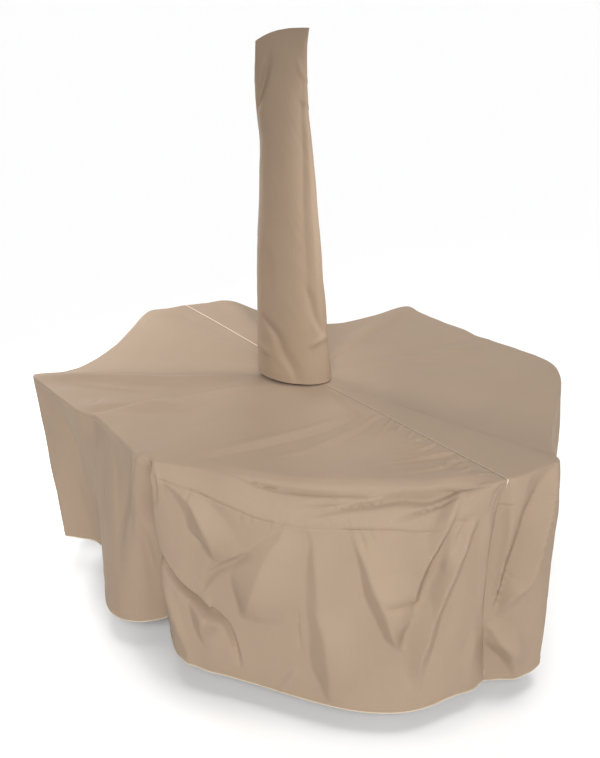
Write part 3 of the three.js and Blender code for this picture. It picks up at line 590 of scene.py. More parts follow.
def curve_through(knots: Array, rows: Array, places: Array) -> Array:
    """Runs a smooth curve through the rows of a table.

    Args:
        knots: where each row stands along the curve.
        rows: the table.
        places: where along the curve the values are wanted.

    Returns:
        One row of values for each place.
    """
    slopes = np.empty_like(rows)
    slopes[1:-1] = (rows[2:] - rows[:-2]) / (knots[2:] - knots[:-2])[:, None]
    slopes[0] = (rows[1] - rows[0]) / (knots[1] - knots[0])
    slopes[-1] = (rows[-1] - rows[-2]) / (knots[-1] - knots[-2])
    k = np.clip(np.searchsorted(knots, places, side="right") - 1, 0, len(knots) - 2)
    step = (knots[k + 1] - knots[k])[:, None]
    t = (places - knots[k])[:, None] / step
    return (
        (2 * t**3 - 3 * t**2 + 1) * rows[k]
        + (t**3 - 2 * t**2 + t) * step * slopes[k]
        + (3 * t**2 - 2 * t**3) * rows[k + 1]
        + (t**3 - t**2) * step * slopes[k + 1]
    )


def chord_knots(rows: Array) -> Array:
    """Adds up the straight distances between the rows' first two values."""
    steps = np.hypot(np.diff(rows[:, 0]), np.diff(rows[:, 1]))
    return np.concatenate([[0.0], np.cumsum(steps)])


def fold_profile(t: Array, crest: float, foot: Array) -> Array:
    """Gives the height of a fold across its width: one at the crest, nought at the foot.

    Args:
        t: the distance from the crest as a share of the width.
        crest: share of the width that is rounded at the crest.
        foot: share of the width that is rounded at the foot.

    Returns:
        The share of the rise.
    """
    t = np.clip(t, 0.0, 1.0)
    slope = 1.0 / (1.0 - crest / 2 - foot / 2)
    fall = np.where(
        t < crest,
        slope * t**2 / (2 * crest),
        np.where(t < 1 - foot, slope * (t - crest / 2), 1.0 - slope * (1 - t) ** 2 / (2 * foot)),
    )
    return 1.0 - fall


def fold_rise(fold: Fold, u: Array, v: Array) -> Array:
    """Works out how far one fold lifts the cloth.

    Args:
        fold: the fold.
        u: first place on the cloth.
        v: second place on the cloth.

    Returns:
        The lift at each place.
    """
    rows = np.array(fold.rows, dtype=float)
    knots = chord_knots(rows)
    places = np.linspace(0.0, knots[-1], FOLD_STEPS_PER_ROW * (len(rows) - 1) + 1)
    path = curve_through(knots, rows, places)
    reach = float(path[:, 3:5].max()) + 1.0
    lift = np.zeros_like(u)
    inside = (
        (u > path[:, 0].min() - reach)
        & (u < path[:, 0].max() + reach)
        & (v > path[:, 1].min() - reach)
        & (v < path[:, 1].max() + reach)
    )
    if not inside.any():
        return lift
    pu, pv = u[inside], v[inside]
    best = np.full(pu.shape, np.inf)
    share = np.zeros((3,) + pu.shape)
    near_side = np.zeros(pu.shape, dtype=bool)
    for a, b in zip(path[:-1], path[1:]):
        du, dv = b[0] - a[0], b[1] - a[1]
        t = np.clip(((pu - a[0]) * du + (pv - a[1]) * dv) / (du * du + dv * dv), 0.0, 1.0)
        ou, ov = pu - a[0] - du * t, pv - a[1] - dv * t
        distance = np.hypot(ou, ov)
        closer = distance < best
        best = np.where(closer, distance, best)
        near_side = np.where(closer, du * ov - dv * ou > 0, near_side)
        for c in range(3):
            share[c] = np.where(closer, mix(a[2 + c], b[2 + c], t), share[c])
    width = np.maximum(np.where(near_side, share[1], share[2]), 1.0)
    foot = np.where(near_side, *fold.foot_shares())
    lift[inside] = fold.steeper * share[0] * fold_profile(best / width, fold.crest, foot)
    return lift


def folds_rise(folds: Sequence[Fold], u: Array, v: Array) -> Array:
    """Adds up the lift of several folds."""
    total = np.zeros_like(u)
    for fold in folds:
        total += fold_rise(fold, u, v)
    return total


def soft_noise(u: Array, v: Array, cell: float, seed: int) -> Array:
    """Gives smooth random values on the cloth.

    Args:
        u: first place on the cloth.
        v: second place on the cloth.
        cell: distance between the random values.
        seed: the fixed start of the random numbers.

    Returns:
        Values from about -1 to 1.
    """
    size = 257
    lattice = np.random.default_rng(seed).uniform(-1.0, 1.0, (size, size))
    a, b = u / cell + size / 3, v / cell + size / 3
    i, j = np.floor(a).astype(int), np.floor(b).astype(int)
    s, t = smoothstep(a - i), smoothstep(b - j)
    i0, i1, j0, j1 = i % size, (i + 1) % size, j % size, (j + 1) % size
    return mix(mix(lattice[i0, j0], lattice[i1, j0], s), mix(lattice[i0, j1], lattice[i1, j1], s), t)


def grid_normals(points: Array, sign: float, ring: bool = False) -> Array:
    """Works out the directions out of a grid of points.

    Args:
        points: rows, columns and three coordinates.
        sign: which way is out.
        ring: whether the last column meets the first.

    Returns:
        Unit vectors, like the points.
    """
    down = np.gradient(points, axis=0)
    if ring:
        along = (np.roll(points, -1, axis=1) - np.roll(points, 1, axis=1)) / 2
    else:
        along = np.gradient(points, axis=1)
    normals = np.cross(down, along) * sign
    length = np.linalg.norm(normals, axis=-1, keepdims=True)
    return normals / np.maximum(length, 1e-9)


def seam_normals(points: Array, sign: float) -> Array:
    """Works out the directions out of a half, kept in the middle plane along its two seams."""
    normals = grid_normals(points, sign)
    normals[:, [0, -1], 1] = 0.0
    return normals / np.linalg.norm(normals, axis=-1, keepdims=True)


def mesh_object(
    name: str, points: Array, faces: Sequence[Sequence[int]], uvs: Array | None = None
) -> bpy.types.Object:
    """Makes a mesh object at the origin.

    Args:
        name: the piece's name.
        points: the corners, in metres.
        faces: corner numbers of each face.
        uvs: a place on the flat cloth for each corner, in metres.

    Returns:
        The object, smooth shaded.
    """
    mesh = bpy.data.meshes.new(name)
    mesh.from_pydata(points.tolist(), [], [list(f) for f in faces])
    mesh.polygons.foreach_set("use_smooth", np.ones(len(mesh.polygons), dtype=bool))
    if uvs is not None:
        layer = mesh.uv_layers.new(name="cloth")
        corners = np.empty(len(mesh.loops), dtype=np.int64)
        mesh.loops.foreach_get("vertex_index", corners)
        layer.data.foreach_set("uv", uvs[corners].astype(np.float32).ravel())
    mesh.update()
    obj = bpy.data.objects.new(name, mesh)
    bpy.context.scene.collection.objects.link(obj)
    return obj


def grid_faces(
    rows: int, columns: int, start: int, flip: bool, ring: bool = False
) -> list[tuple[int, ...]]:
    """Lists the faces of a grid.

    Args:
        rows: how many rows of points.
        columns: how many columns of points.
        start: the number of the first point.
        flip: whether the faces turn the other way.
        ring: whether the last column meets the first.

    Returns:
        Four corner numbers for each face.
    """
    faces = []
    for i in range(rows - 1):
        for j in range(columns if ring else columns - 1):
            k = (j + 1) % columns
            a, b = start + i * columns + j, start + (i + 1) * columns + j
            c, d = start + (i + 1) * columns + k, start + i * columns + k
            faces.append((a, d, c, b) if flip else (a, b, c, d))
    return faces


def sheet_object(name: str, outer: Array, inner: Array, uvs: Array, side: Side) -> bpy.types.Object:
    """Closes two like grids, the outer and the inner face of a cloth, into one thin piece.

    Args:
        name: the piece's name.
        outer: the outer face's points, in millimetres.
        inner: the inner face's points.
        uvs: places on the flat cloth.
        side: the half of the cover.

    Returns:
        The cloth as a mesh object, with sharp edges where it is cut.
    """
    rows, columns = outer.shape[:2]
    half = rows * columns
    flip = side is Side.LEFT
    faces = grid_faces(rows, columns, 0, flip)
    faces += grid_faces(rows, columns, half, not flip)
    border = [(0, j) for j in range(columns)]
    border += [(i, columns - 1) for i in range(1, rows)]
    border += [(rows - 1, j) for j in range(columns - 2, -1, -1)]
    border += [(i, 0) for i in range(rows - 2, 0, -1)]
    for (i, j), (k, m) in zip(border, border[1:] + border[:1]):
        a, b = i * columns + j, k * columns + m
        faces.append((a, half + a, half + b, b) if flip else (b, half + b, half + a, a))
    points = np.concatenate([outer.reshape(-1, 3), inner.reshape(-1, 3)]) * MM
    obj = mesh_object(name, points, faces, np.concatenate([uvs.reshape(-1, 2)] * 2))
    obj.data.set_sharp_from_angle(angle=SHARP_ANGLE)
    return obj


def tube_object(
    name: str, path: Array, across: Array, up: Array, sizes: tuple[float, float], sides: int
) -> bpy.types.Object:
    """Sweeps an oval along a path and closes its two ends.

    Args:
        name: the piece's name.
        path: the points of its middle line, in millimetres.
        across: the direction of the oval's first half size at each point.
        up: the direction of its second half size.
        sizes: the two half sizes.
        sides: how many sides the oval has.

    Returns:
        The tube as a closed mesh object.
    """
    angles = np.arange(sides) * 2 * math.pi / sides
    ring = path[:, None, :] + (
        across[:, None, :] * (sizes[0] * np.cos(angles))[None, :, None]
        + up[:, None, :] * (sizes[1] * np.sin(angles))[None, :, None]
    )
    count = len(path)
    faces = grid_faces(count, sides, 0, False, ring=True)
    faces.append(tuple(range(sides)))
    faces.append(tuple((count - 1) * sides + j for j in reversed(range(sides))))
    obj = mesh_object(name, ring.reshape(-1, 3) * MM, faces)
    return recalculated(obj)


def recalculated(obj: bpy.types.Object) -> bpy.types.Object:
    """Turns the faces of a closed piece outwards."""
    mesh = bmesh.new()
    mesh.from_mesh(obj.data)
    bmesh.ops.recalc_face_normals(mesh, faces=mesh.faces)
    mesh.to_mesh(obj.data)
    mesh.free()
    return obj


def add_node(
    tree: bpy.types.NodeTree, kind: str, links: Links | None = None, **settings: Any
) -> bpy.types.Node:
    """Adds one node with its settings and links.

    Args:
        tree: the node tree.
        kind: the node's type.
        links: for each input, by name or place, an output socket or a plain value.
        settings: the node's own settings.

    Returns:
        The node.
    """
    node = tree.nodes.new(kind)
    for key, value in settings.items():
        setattr(node, key, value)
    for key, value in (links or {}).items():
        socket = node.inputs[int(key)] if key.isdigit() else node.inputs[key]
        if isinstance(value, bpy.types.NodeSocket):
            tree.links.new(value, socket)
        else:
            socket.default_value = value
    return node


def blank_material(name: str) -> bpy.types.Material:
    """Makes a material with an empty node tree."""
    made = bpy.data.materials.new(name)
    made.use_nodes = True
    made.node_tree.nodes.clear()
    return made


def tint_ramp(
    tree: bpy.types.NodeTree, value: bpy.types.NodeSocket, places: Row, tints: Sequence[Array]
) -> bpy.types.NodeSocket:
    """Turns a value into a colour between two tints.

    Args:
        tree: the node tree.
        value: the socket that gives the value.
        places: the values of the first and the second tint.
        tints: the two tints, linear.

    Returns:
        The socket that gives the colour.
    """
    ramp = add_node(tree, "ShaderNodeValToRGB", {"Fac": value})
    for stop, place, tint in zip(ramp.color_ramp.elements, places, tints):
        stop.position = place
        stop.color = (*tint, 1.0)
    return ramp.outputs["Color"]


@dataclass(frozen=True)
class CoverCloth:
    """Solution-dyed polyester, plain woven and coated on the back, so it is tough, a little stiff and
    hardly shiny: a matt weave with a soft glow where it is seen along the surface.

    Attributes:
        name: the material's name.
        colour: its sRGB colour.
        weave_scale: scale of the wave nodes that draw the weave. It gives about 80 ridges to the metre,
            as the real threads, about 0.6 mm apart, are too fine to show.
        mottle: how far the colour wanders.
        painted_shade_per_metre: painted shade: how much of its light the colour loses per metre of height,
            so that the cloth looks less lit towards the top.
        painted_shade_offset: factor on its colour at the origin's height, where that painted shade starts.
        tints_per_metre: how many patches of dye and dust there are to the metre.
        yarns_per_metre: how many changes of the yarn there are to the metre.
        creases_per_metre: how many small handling creases there are to the metre.
        roughness: the roughness of the coated weave.
        sheen: how much its fibres glow where it is seen along the surface.
    """

    name: str
    colour: ShadeName
    weave_scale: float = 25.0
    mottle: float = 0.035
    painted_shade_per_metre: float = 0.0
    painted_shade_offset: float = 1.0
    tints_per_metre: float = 4.0
    yarns_per_metre: float = 160.0
    creases_per_metre: float = 26.0
    roughness: float = 0.66
    sheen: float = 0.02

    def material(self) -> bpy.types.Material:
        """Builds the cloth's material.

        Returns:
            The material.
        """
        made = blank_material(self.name)
        tree = made.node_tree
        flat = add_node(tree, "ShaderNodeUVMap", uv_map="cloth").outputs["UV"]
        place = add_node(tree, "ShaderNodeTexCoord").outputs["Object"]
        # Dye and dust vary over a quarter of a metre, and the yarn over ten threads or so
        broad = add_node(
            tree, "ShaderNodeTexNoise",
            {"Vector": place, "Scale": self.tints_per_metre, "Detail": 3.0, "Roughness": 0.5},
        )
        fine = add_node(
            tree, "ShaderNodeTexNoise",
            {"Vector": flat, "Scale": self.yarns_per_metre, "Detail": 3.0, "Roughness": 0.7},
        )
        broad_share, fine_share = 0.65, 0.35
        spread = add_node(
            tree, "ShaderNodeMath",
            {"0": broad.outputs["Fac"], "1": broad_share, "2": fine_share / 2}, operation="MULTIPLY_ADD",
        )
        joined = add_node(
            tree, "ShaderNodeMath",
            {"0": fine.outputs["Fac"], "1": fine_share, "2": spread.outputs[0]}, operation="MULTIPLY_ADD",
        )
        base = np.array(linear(self.colour.value)[:3])
        tints = (base * (1 - 2 * self.mottle), base * (1 + 2 * self.mottle))
        colour = tint_ramp(tree, joined.outputs[0], (0.25, 0.95), tints)
        # Painted shade: the colour darkens with height, so that the cloth looks less lit towards its top
        height = add_node(tree, "ShaderNodeSeparateXYZ", {"Vector": place}).outputs["Z"]
        painted_shade_factor = add_node(
            tree, "ShaderNodeMath", {"0": height, "1": -self.painted_shade_per_metre, "2": self.painted_shade_offset},
            operation="MULTIPLY_ADD",
        )
        dyed = add_node(tree, "ShaderNodeVectorMath", {"0": colour}, operation="SCALE")
        tree.links.new(painted_shade_factor.outputs[0], dyed.inputs["Scale"])
        # Warp and weft as two sets of ridges across each other
        warp, weft = (
            add_node(
                tree, "ShaderNodeTexWave", {"Vector": flat, "Scale": self.weave_scale, "Distortion": 0.0},
                wave_type="BANDS", bands_direction=direction, wave_profile="SIN",
            )
            for direction in ("X", "Y")
        )
        weave = add_node(
            tree, "ShaderNodeMath", {"0": warp.outputs["Fac"], "1": weft.outputs["Fac"]},
            operation="MULTIPLY",
        )
        threads = add_node(
            tree, "ShaderNodeBump", {"Height": weave.outputs[0], "Strength": 0.25, "Distance": 0.0006},
        )
        # Small handling creases, two fingers' width apart
        crinkle = add_node(
            tree, "ShaderNodeTexNoise",
            {"Vector": flat, "Scale": self.creases_per_metre, "Detail": 2.5, "Roughness": 0.45,
             "Distortion": 0.3},
        )
        creased = add_node(
            tree, "ShaderNodeBump",
            {"Height": crinkle.outputs["Fac"], "Strength": 0.35, "Distance": 0.0022,
             "Normal": threads.outputs["Normal"]},
        )
        shader = add_node(
            tree, "ShaderNodeBsdfPrincipled",
            {"Base Color": dyed.outputs["Vector"], "Roughness": self.roughness, "IOR": 1.45,
             "Specular IOR Level": 0.1, "Sheen Weight": self.sheen, "Sheen Roughness": 0.45,
             "Sheen Tint": linear(ShadeName.SHEEN.value), "Normal": creased.outputs["Normal"]},
        )
        add_node(tree, "ShaderNodeOutputMaterial", {"Surface": shader.outputs["BSDF"]})
        return made


@dataclass(frozen=True)
class SewnTrim:
    """Polyester thread, tape or binding: finer and lighter than the cloth, with a twist in the yarn.

    Attributes:
        name: the material's name.
        colour: its sRGB colour.
        twist_mm: the length of one twist of the yarn, as drawn.
        roughness: the roughness of the yarn.
    """

    name: str
    colour: ShadeName
    twist_mm: float = 4.0
    roughness: float = 0.7

    def material(self) -> bpy.types.Material:
        """Builds the trim's material.

        Returns:
            The material.
        """
        made = blank_material(self.name)
        tree = made.node_tree
        place = add_node(tree, "ShaderNodeTexCoord").outputs["Object"]
        yarn = add_node(
            tree, "ShaderNodeTexNoise",
            {"Vector": place, "Scale": 1.0 / (self.twist_mm * MM), "Detail": 2.0, "Roughness": 0.5},
        )
        base = np.array(linear(self.colour.value)[:3])
        tints = (base * 0.93, np.minimum(base * 1.05, 1.0))
        colour = tint_ramp(tree, yarn.outputs["Fac"], (0.3, 0.7), tints)
        bump = add_node(
            tree, "ShaderNodeBump", {"Height": yarn.outputs["Fac"], "Strength": 0.4, "Distance": 0.0006},
        )
        shader = add_node(
            tree, "ShaderNodeBsdfPrincipled",
            {"Base Color": colour, "Roughness": self.roughness, "IOR": 1.45,
             "Specular IOR Level": 0.3, "Sheen Weight": 0.2, "Sheen Roughness": 0.5,
             "Normal": bump.outputs["Normal"]},
        )
        add_node(tree, "ShaderNodeOutputMaterial", {"Surface": shader.outputs["BSDF"]})
        return made


@dataclass(frozen=True)
class SeamBow:
    """The near end's seam, pulled over to the left between the rim and the hem.

    Attributes:
        by: how far it is pulled over at the most, in millimetres.
        top: the height above the origin at which the pull begins.
        length: how far down it reaches.
        shape: below one, it is pulled over furthest above the middle of that length.
        from_x: where along the cover the pull begins.
        sets_in_over: the length over which it grows to the full.
        full_width: how far to each side of the seam the cloth goes all the way with it.
        fade_width: the width beyond that over which the cloth is left behind.
    """

    by: float = 42.0
    top: float = 15.0
    length: float = 815.0
    shape: float = 0.8
    from_x: float = 700.0
    sets_in_over: float = 400.0
    full_width: float = 30.0
    fade_width: float = 190.0

    def moved(self, points: Array) -> Array:
        """Moves the cloth near the end seam over with it.

        Args:
            points: points of the cloth, in millimetres.

        Returns:
            The moved points.
        """
        down = (self.top - points[..., 2]) / self.length
        along = smoothstep((points[..., 0] - self.from_x) / self.sets_in_over)
        beside = 1.0 - smoothstep((np.abs(points[..., 1]) - self.full_width) / self.fade_width)
        bow = np.where((down > 0) & (down < 1), np.sin(math.pi * np.clip(down, 0, 1) ** self.shape), 0.0)
        result = points.copy()
        result[..., 1] -= self.by * bow * along * beside
        return result


@dataclass
class HalfCover:
    """One half of the cover: its part of the top with the lap, and its length of skirt.

    Attributes:
        side: which half.
        stations: the places round the rim.
        folds: the folds of the lap and skirt.
        near_length: how much of the rim, from the near seam, has close columns of points.
        near_step: distance between columns there.
        far_step: distance between columns on the rest.
        thickness: how thick the cloth is drawn.
        seam_gap: the gap between the two halves.
        hem_height: how high the turned-up hem reaches.
        hem_edge: the height over which it runs out.
        hem_stands_out: how far it stands out.
        belt_depth: how deep the belt seam sinks in where the cloth puckers.
        belt_width: how far to each side it sinks.
        belt_shows: the stretches of the rim where it puckers.
        belt_fade: the length over which a pucker sets in.
        plain_belt: share of the depth where it doesn't pucker.
        coarse_share: share of the way out from the pole hole over which the top's rows stand far apart.
        top_rows: rows on that inner part of the top and on the rest.
        lap_rows: rows from the rim to the belt seam.
        skirt_rows: rows from the belt seam to the hem.
        rounded_rows: rows above and below the rim that are rounded.
        rounding_passes: how often they are rounded.
        fold_fade: the distance from the centre seam over which the folds set in.
        wave_fade: the same for the soft waves.
        wave_left: share of the soft waves that is left at the seam.
        seam_depth: how deep the centre seam sinks into the cloth.
        seam_width: how far to each side it sinks.
        bow: how the near seam is pulled over.
    """

    side: Side
    stations: tuple[Row, ...]
    folds: tuple[Fold, ...]
    near_length: float
    near_step: float = 6.25
    far_step: float = 15.5
    thickness: float = 1.4
    seam_gap: float = 0.3
    hem_height: float = 24.0
    hem_edge: float = 2.0
    hem_stands_out: float = 1.3
    belt_depth: float = 3.4
    belt_width: float = 5.0
    belt_shows: tuple[tuple[float, float], ...] = ((-30.0, 24.0), (215.0, 575.0), (760.0, 1200.0))
    belt_fade: float = 30.0
    plain_belt: float = 0.15
    coarse_share: float = 0.42
    top_rows: tuple[int, int] = (18, 86)
    lap_rows: int = 24
    skirt_rows: int = 116
    rounded_rows: tuple[int, int] = (2, 3)
    rounding_passes: int = 2
    fold_fade: float = 12.0
    wave_fade: float = 14.0
    wave_left: float = 0.35
    seam_depth: float = 1.1
    seam_width: float = 6.0
    bow: SeamBow = field(default_factory=SeamBow)

    def __post_init__(self) -> None:
        """Works out the grid of points from the pole hole over the rim and the lap to the hem."""
        rows = np.array(self.stations, dtype=float)
        knots = chord_knots(rows)
        self.length = float(knots[-1])
        near = np.linspace(0.0, self.near_length, round(self.near_length / self.near_step) + 1)
        rest = self.length - self.near_length
        far = np.linspace(self.near_length, self.length, round(rest / self.far_step) + 1)[1:]
        self.around = np.concatenate([near, far])
        here = curve_through(knots, rows, self.around)
        after = curve_through(knots, rows, np.minimum(self.around + 1.0, self.length))
        before = curve_through(knots, rows, np.maximum(self.around - 1.0, 0.0))
        side = float(self.side.value)
        out = np.stack([after[:, 1] - before[:, 1], before[:, 0] - after[:, 0]], axis=-1) * side
        out /= np.linalg.norm(out, axis=-1, keepdims=True)
        out[0] = (1.0, 0.0)
        out[-1] = (-1.0, 0.0)
        rim_x, rim_y, rim_h, drop, reach, hem_x, hem_y, hem_h, rise = here.T
        angle = np.arctan2(rim_y, rim_x)
        hole_x, hole_y = HOLE_RADIUS * np.cos(angle), HOLE_RADIUS * np.sin(angle)
        inner, outer = self.top_rows
        coarse = np.linspace(0.0, self.coarse_share, inner + 1)[:-1]
        shares = np.concatenate([coarse, np.linspace(self.coarse_share, 1.0, outer + 1)])
        across = np.hypot(rim_x - hole_x, rim_y - hole_y)
        grid: list[Array] = []
        below: list[Array] = []
        for f in shares:
            height = mix(CENTRE_HEIGHT, rim_h, f) + RISE_FACTOR * rise * f * f * (1 - f)
            grid.append(np.stack([mix(hole_x, rim_x, f), mix(hole_y, rim_y, f), height], axis=-1))
            below.append(-drop - (1 - f) * across)
        for k in range(1, self.lap_rows + 1):
            f = k / self.lap_rows
            stand = reach * math.sin(f * math.pi / 2)
            lap = (rim_x + out[:, 0] * stand, rim_y + out[:, 1] * stand, rim_h - drop * f)
            grid.append(np.stack(lap, axis=-1))
            below.append(-drop * (1 - f))
        self.belt_row = len(grid) - 1
        self.rim_row = self.belt_row - self.lap_rows
        belt = grid[-1]
        for k in range(1, self.skirt_rows + 1):
            f = k / self.skirt_rows
            hanging = (mix(belt[:, 0], hem_x, f), mix(belt[:, 1], hem_y, f), mix(belt[:, 2], hem_h, f))
            grid.append(np.stack(hanging, axis=-1))
            below.append(belt[:, 2] - grid[-1][:, 2])
        self.base = np.array(grid)
        self.base[..., 2] -= ORIGIN_HEIGHT
        self.below = np.array(below)
        self.round_the_rim()
        self.shape_cloth()

    def round_the_rim(self) -> None:
        """Rounds the cloth over the rim."""
        low, high = self.rim_row - self.rounded_rows[0], self.rim_row + self.rounded_rows[1]
        for _ in range(self.rounding_passes):
            band = self.base[low - 1 : high + 2].copy()
            self.base[low : high + 1] = (band[:-2] + 2 * band[1:-1] + band[2:]) / 4

    def shape_cloth(self) -> None:
        """Lifts the folds and soft waves out of the plain shape."""
        side = float(self.side.value)
        normals = seam_normals(self.base, side)
        around = np.broadcast_to(self.around, self.below.shape)
        # The two halves share the seams, so the folds and waves run out before them
        seam = np.minimum(self.around, self.length - self.around)
        lift = folds_rise(self.folds, around, self.below) * smoothstep(seam / self.fold_fade)[None, :]
        top = folds_rise(TOP_FOLDS, self.base[..., 0], self.base[..., 1])
        fade = np.ones(len(self.base))
        fade[self.rim_row : self.belt_row + 1] = np.linspace(1.0, 0.0, self.lap_rows + 1)
        fade[self.belt_row :] = 0.0
        lift = lift + top * fade[:, None]
        blend = smoothstep((self.below - TOP_WAVES_END) / TOP_WAVES_FADE)
        kept = mix(self.wave_left, 1.0, smoothstep(seam / self.wave_fade))[None, :]
        for cell, size, seed in SOFT_WAVES:
            on_top = soft_noise(self.base[..., 0], self.base[..., 1], cell * TOP_WAVES_WIDER, seed)
            hanging = soft_noise(around, self.below, cell, seed + 1)
            lift = lift + size * mix(on_top * TOP_WAVES_LOWER, hanging, blend) * kept
        # The seams sink a little into the cloth, and the belt seam puckers
        belt = np.exp(-((self.below / self.belt_width) ** 2))
        belt = belt * (np.arange(len(self.base)) >= self.rim_row)[:, None]
        shows = np.zeros_like(self.around)
        for start, stop in self.belt_shows:
            pulled = smoothstep((self.around - start) / self.belt_fade)
            pulled = pulled * smoothstep((stop - self.around) / self.belt_fade)
            shows = np.maximum(shows, pulled)
        lift = lift - self.belt_depth * belt * mix(self.plain_belt, 1.0, shows)[None, :]
        lift = lift - self.seam_depth * np.exp(-((seam / self.seam_width) ** 2))[None, :]
        points = self.base + normals * lift[..., None]
        # The hem is turned up, so it stands out a little
        above_hem = self.base[..., 2] - self.base[-1, :, 2][None, :]
        band = smoothstep((self.hem_height - above_hem) / self.hem_edge)
        band = band * (np.arange(len(self.base)) > self.belt_row)[:, None]
        points = points + normals * (self.hem_stands_out * band)[..., None]
        points[:, [0, -1], 1] = 0.0
        self.normals = seam_normals(points, side)
        points[:, [0, -1], 1] += side * self.seam_gap / 2
        self.outer = self.bow.moved(points)
        self.inner = self.bow.moved(points - self.normals * self.thickness)

    def piece(self, name: str, first: int, last: int, on_top: bool) -> bpy.types.Object:
        """Makes one cloth piece out of rows of the grid.

        Args:
            name: the piece's name.
            first: its first row.
            last: its last row.
            on_top: whether its threads run with the plan, as on the top, or down from the rim.

        Returns:
            The piece.
        """
        rows = slice(first, last + 1)
        if on_top:
            flat = self.base[rows, :, :2] * MM
        else:
            around = np.broadcast_to(self.around, self.below.shape)
            flat = np.stack([around[rows], self.below[rows]], axis=-1) * MM
        return sheet_object(name, self.outer[rows], self.inner[rows], flat, self.side)

    def build(self) -> dict[str, bpy.types.Object]:
        """Makes the top panel and the skirt.

        Returns:
            The two pieces, under their nodes' names.
        """
        word = self.side.name.lower()
        return {
            f"top_panel_{word}": self.piece(f"top_{word}_cloth", 0, self.belt_row, True),
            f"skirt_{word}": self.piece(f"skirt_{word}_cloth", self.belt_row, len(self.outer) - 1, False),
        }

    def line(self, row: int, lift: float) -> Array:
        """Gives a line of points along one row, lifted off the cloth.

        Args:
            row: the row of the grid.
            lift: how far off the cloth.

        Returns:
            The points, in millimetres.
        """
        return self.outer[row] + self.normals[row] * lift


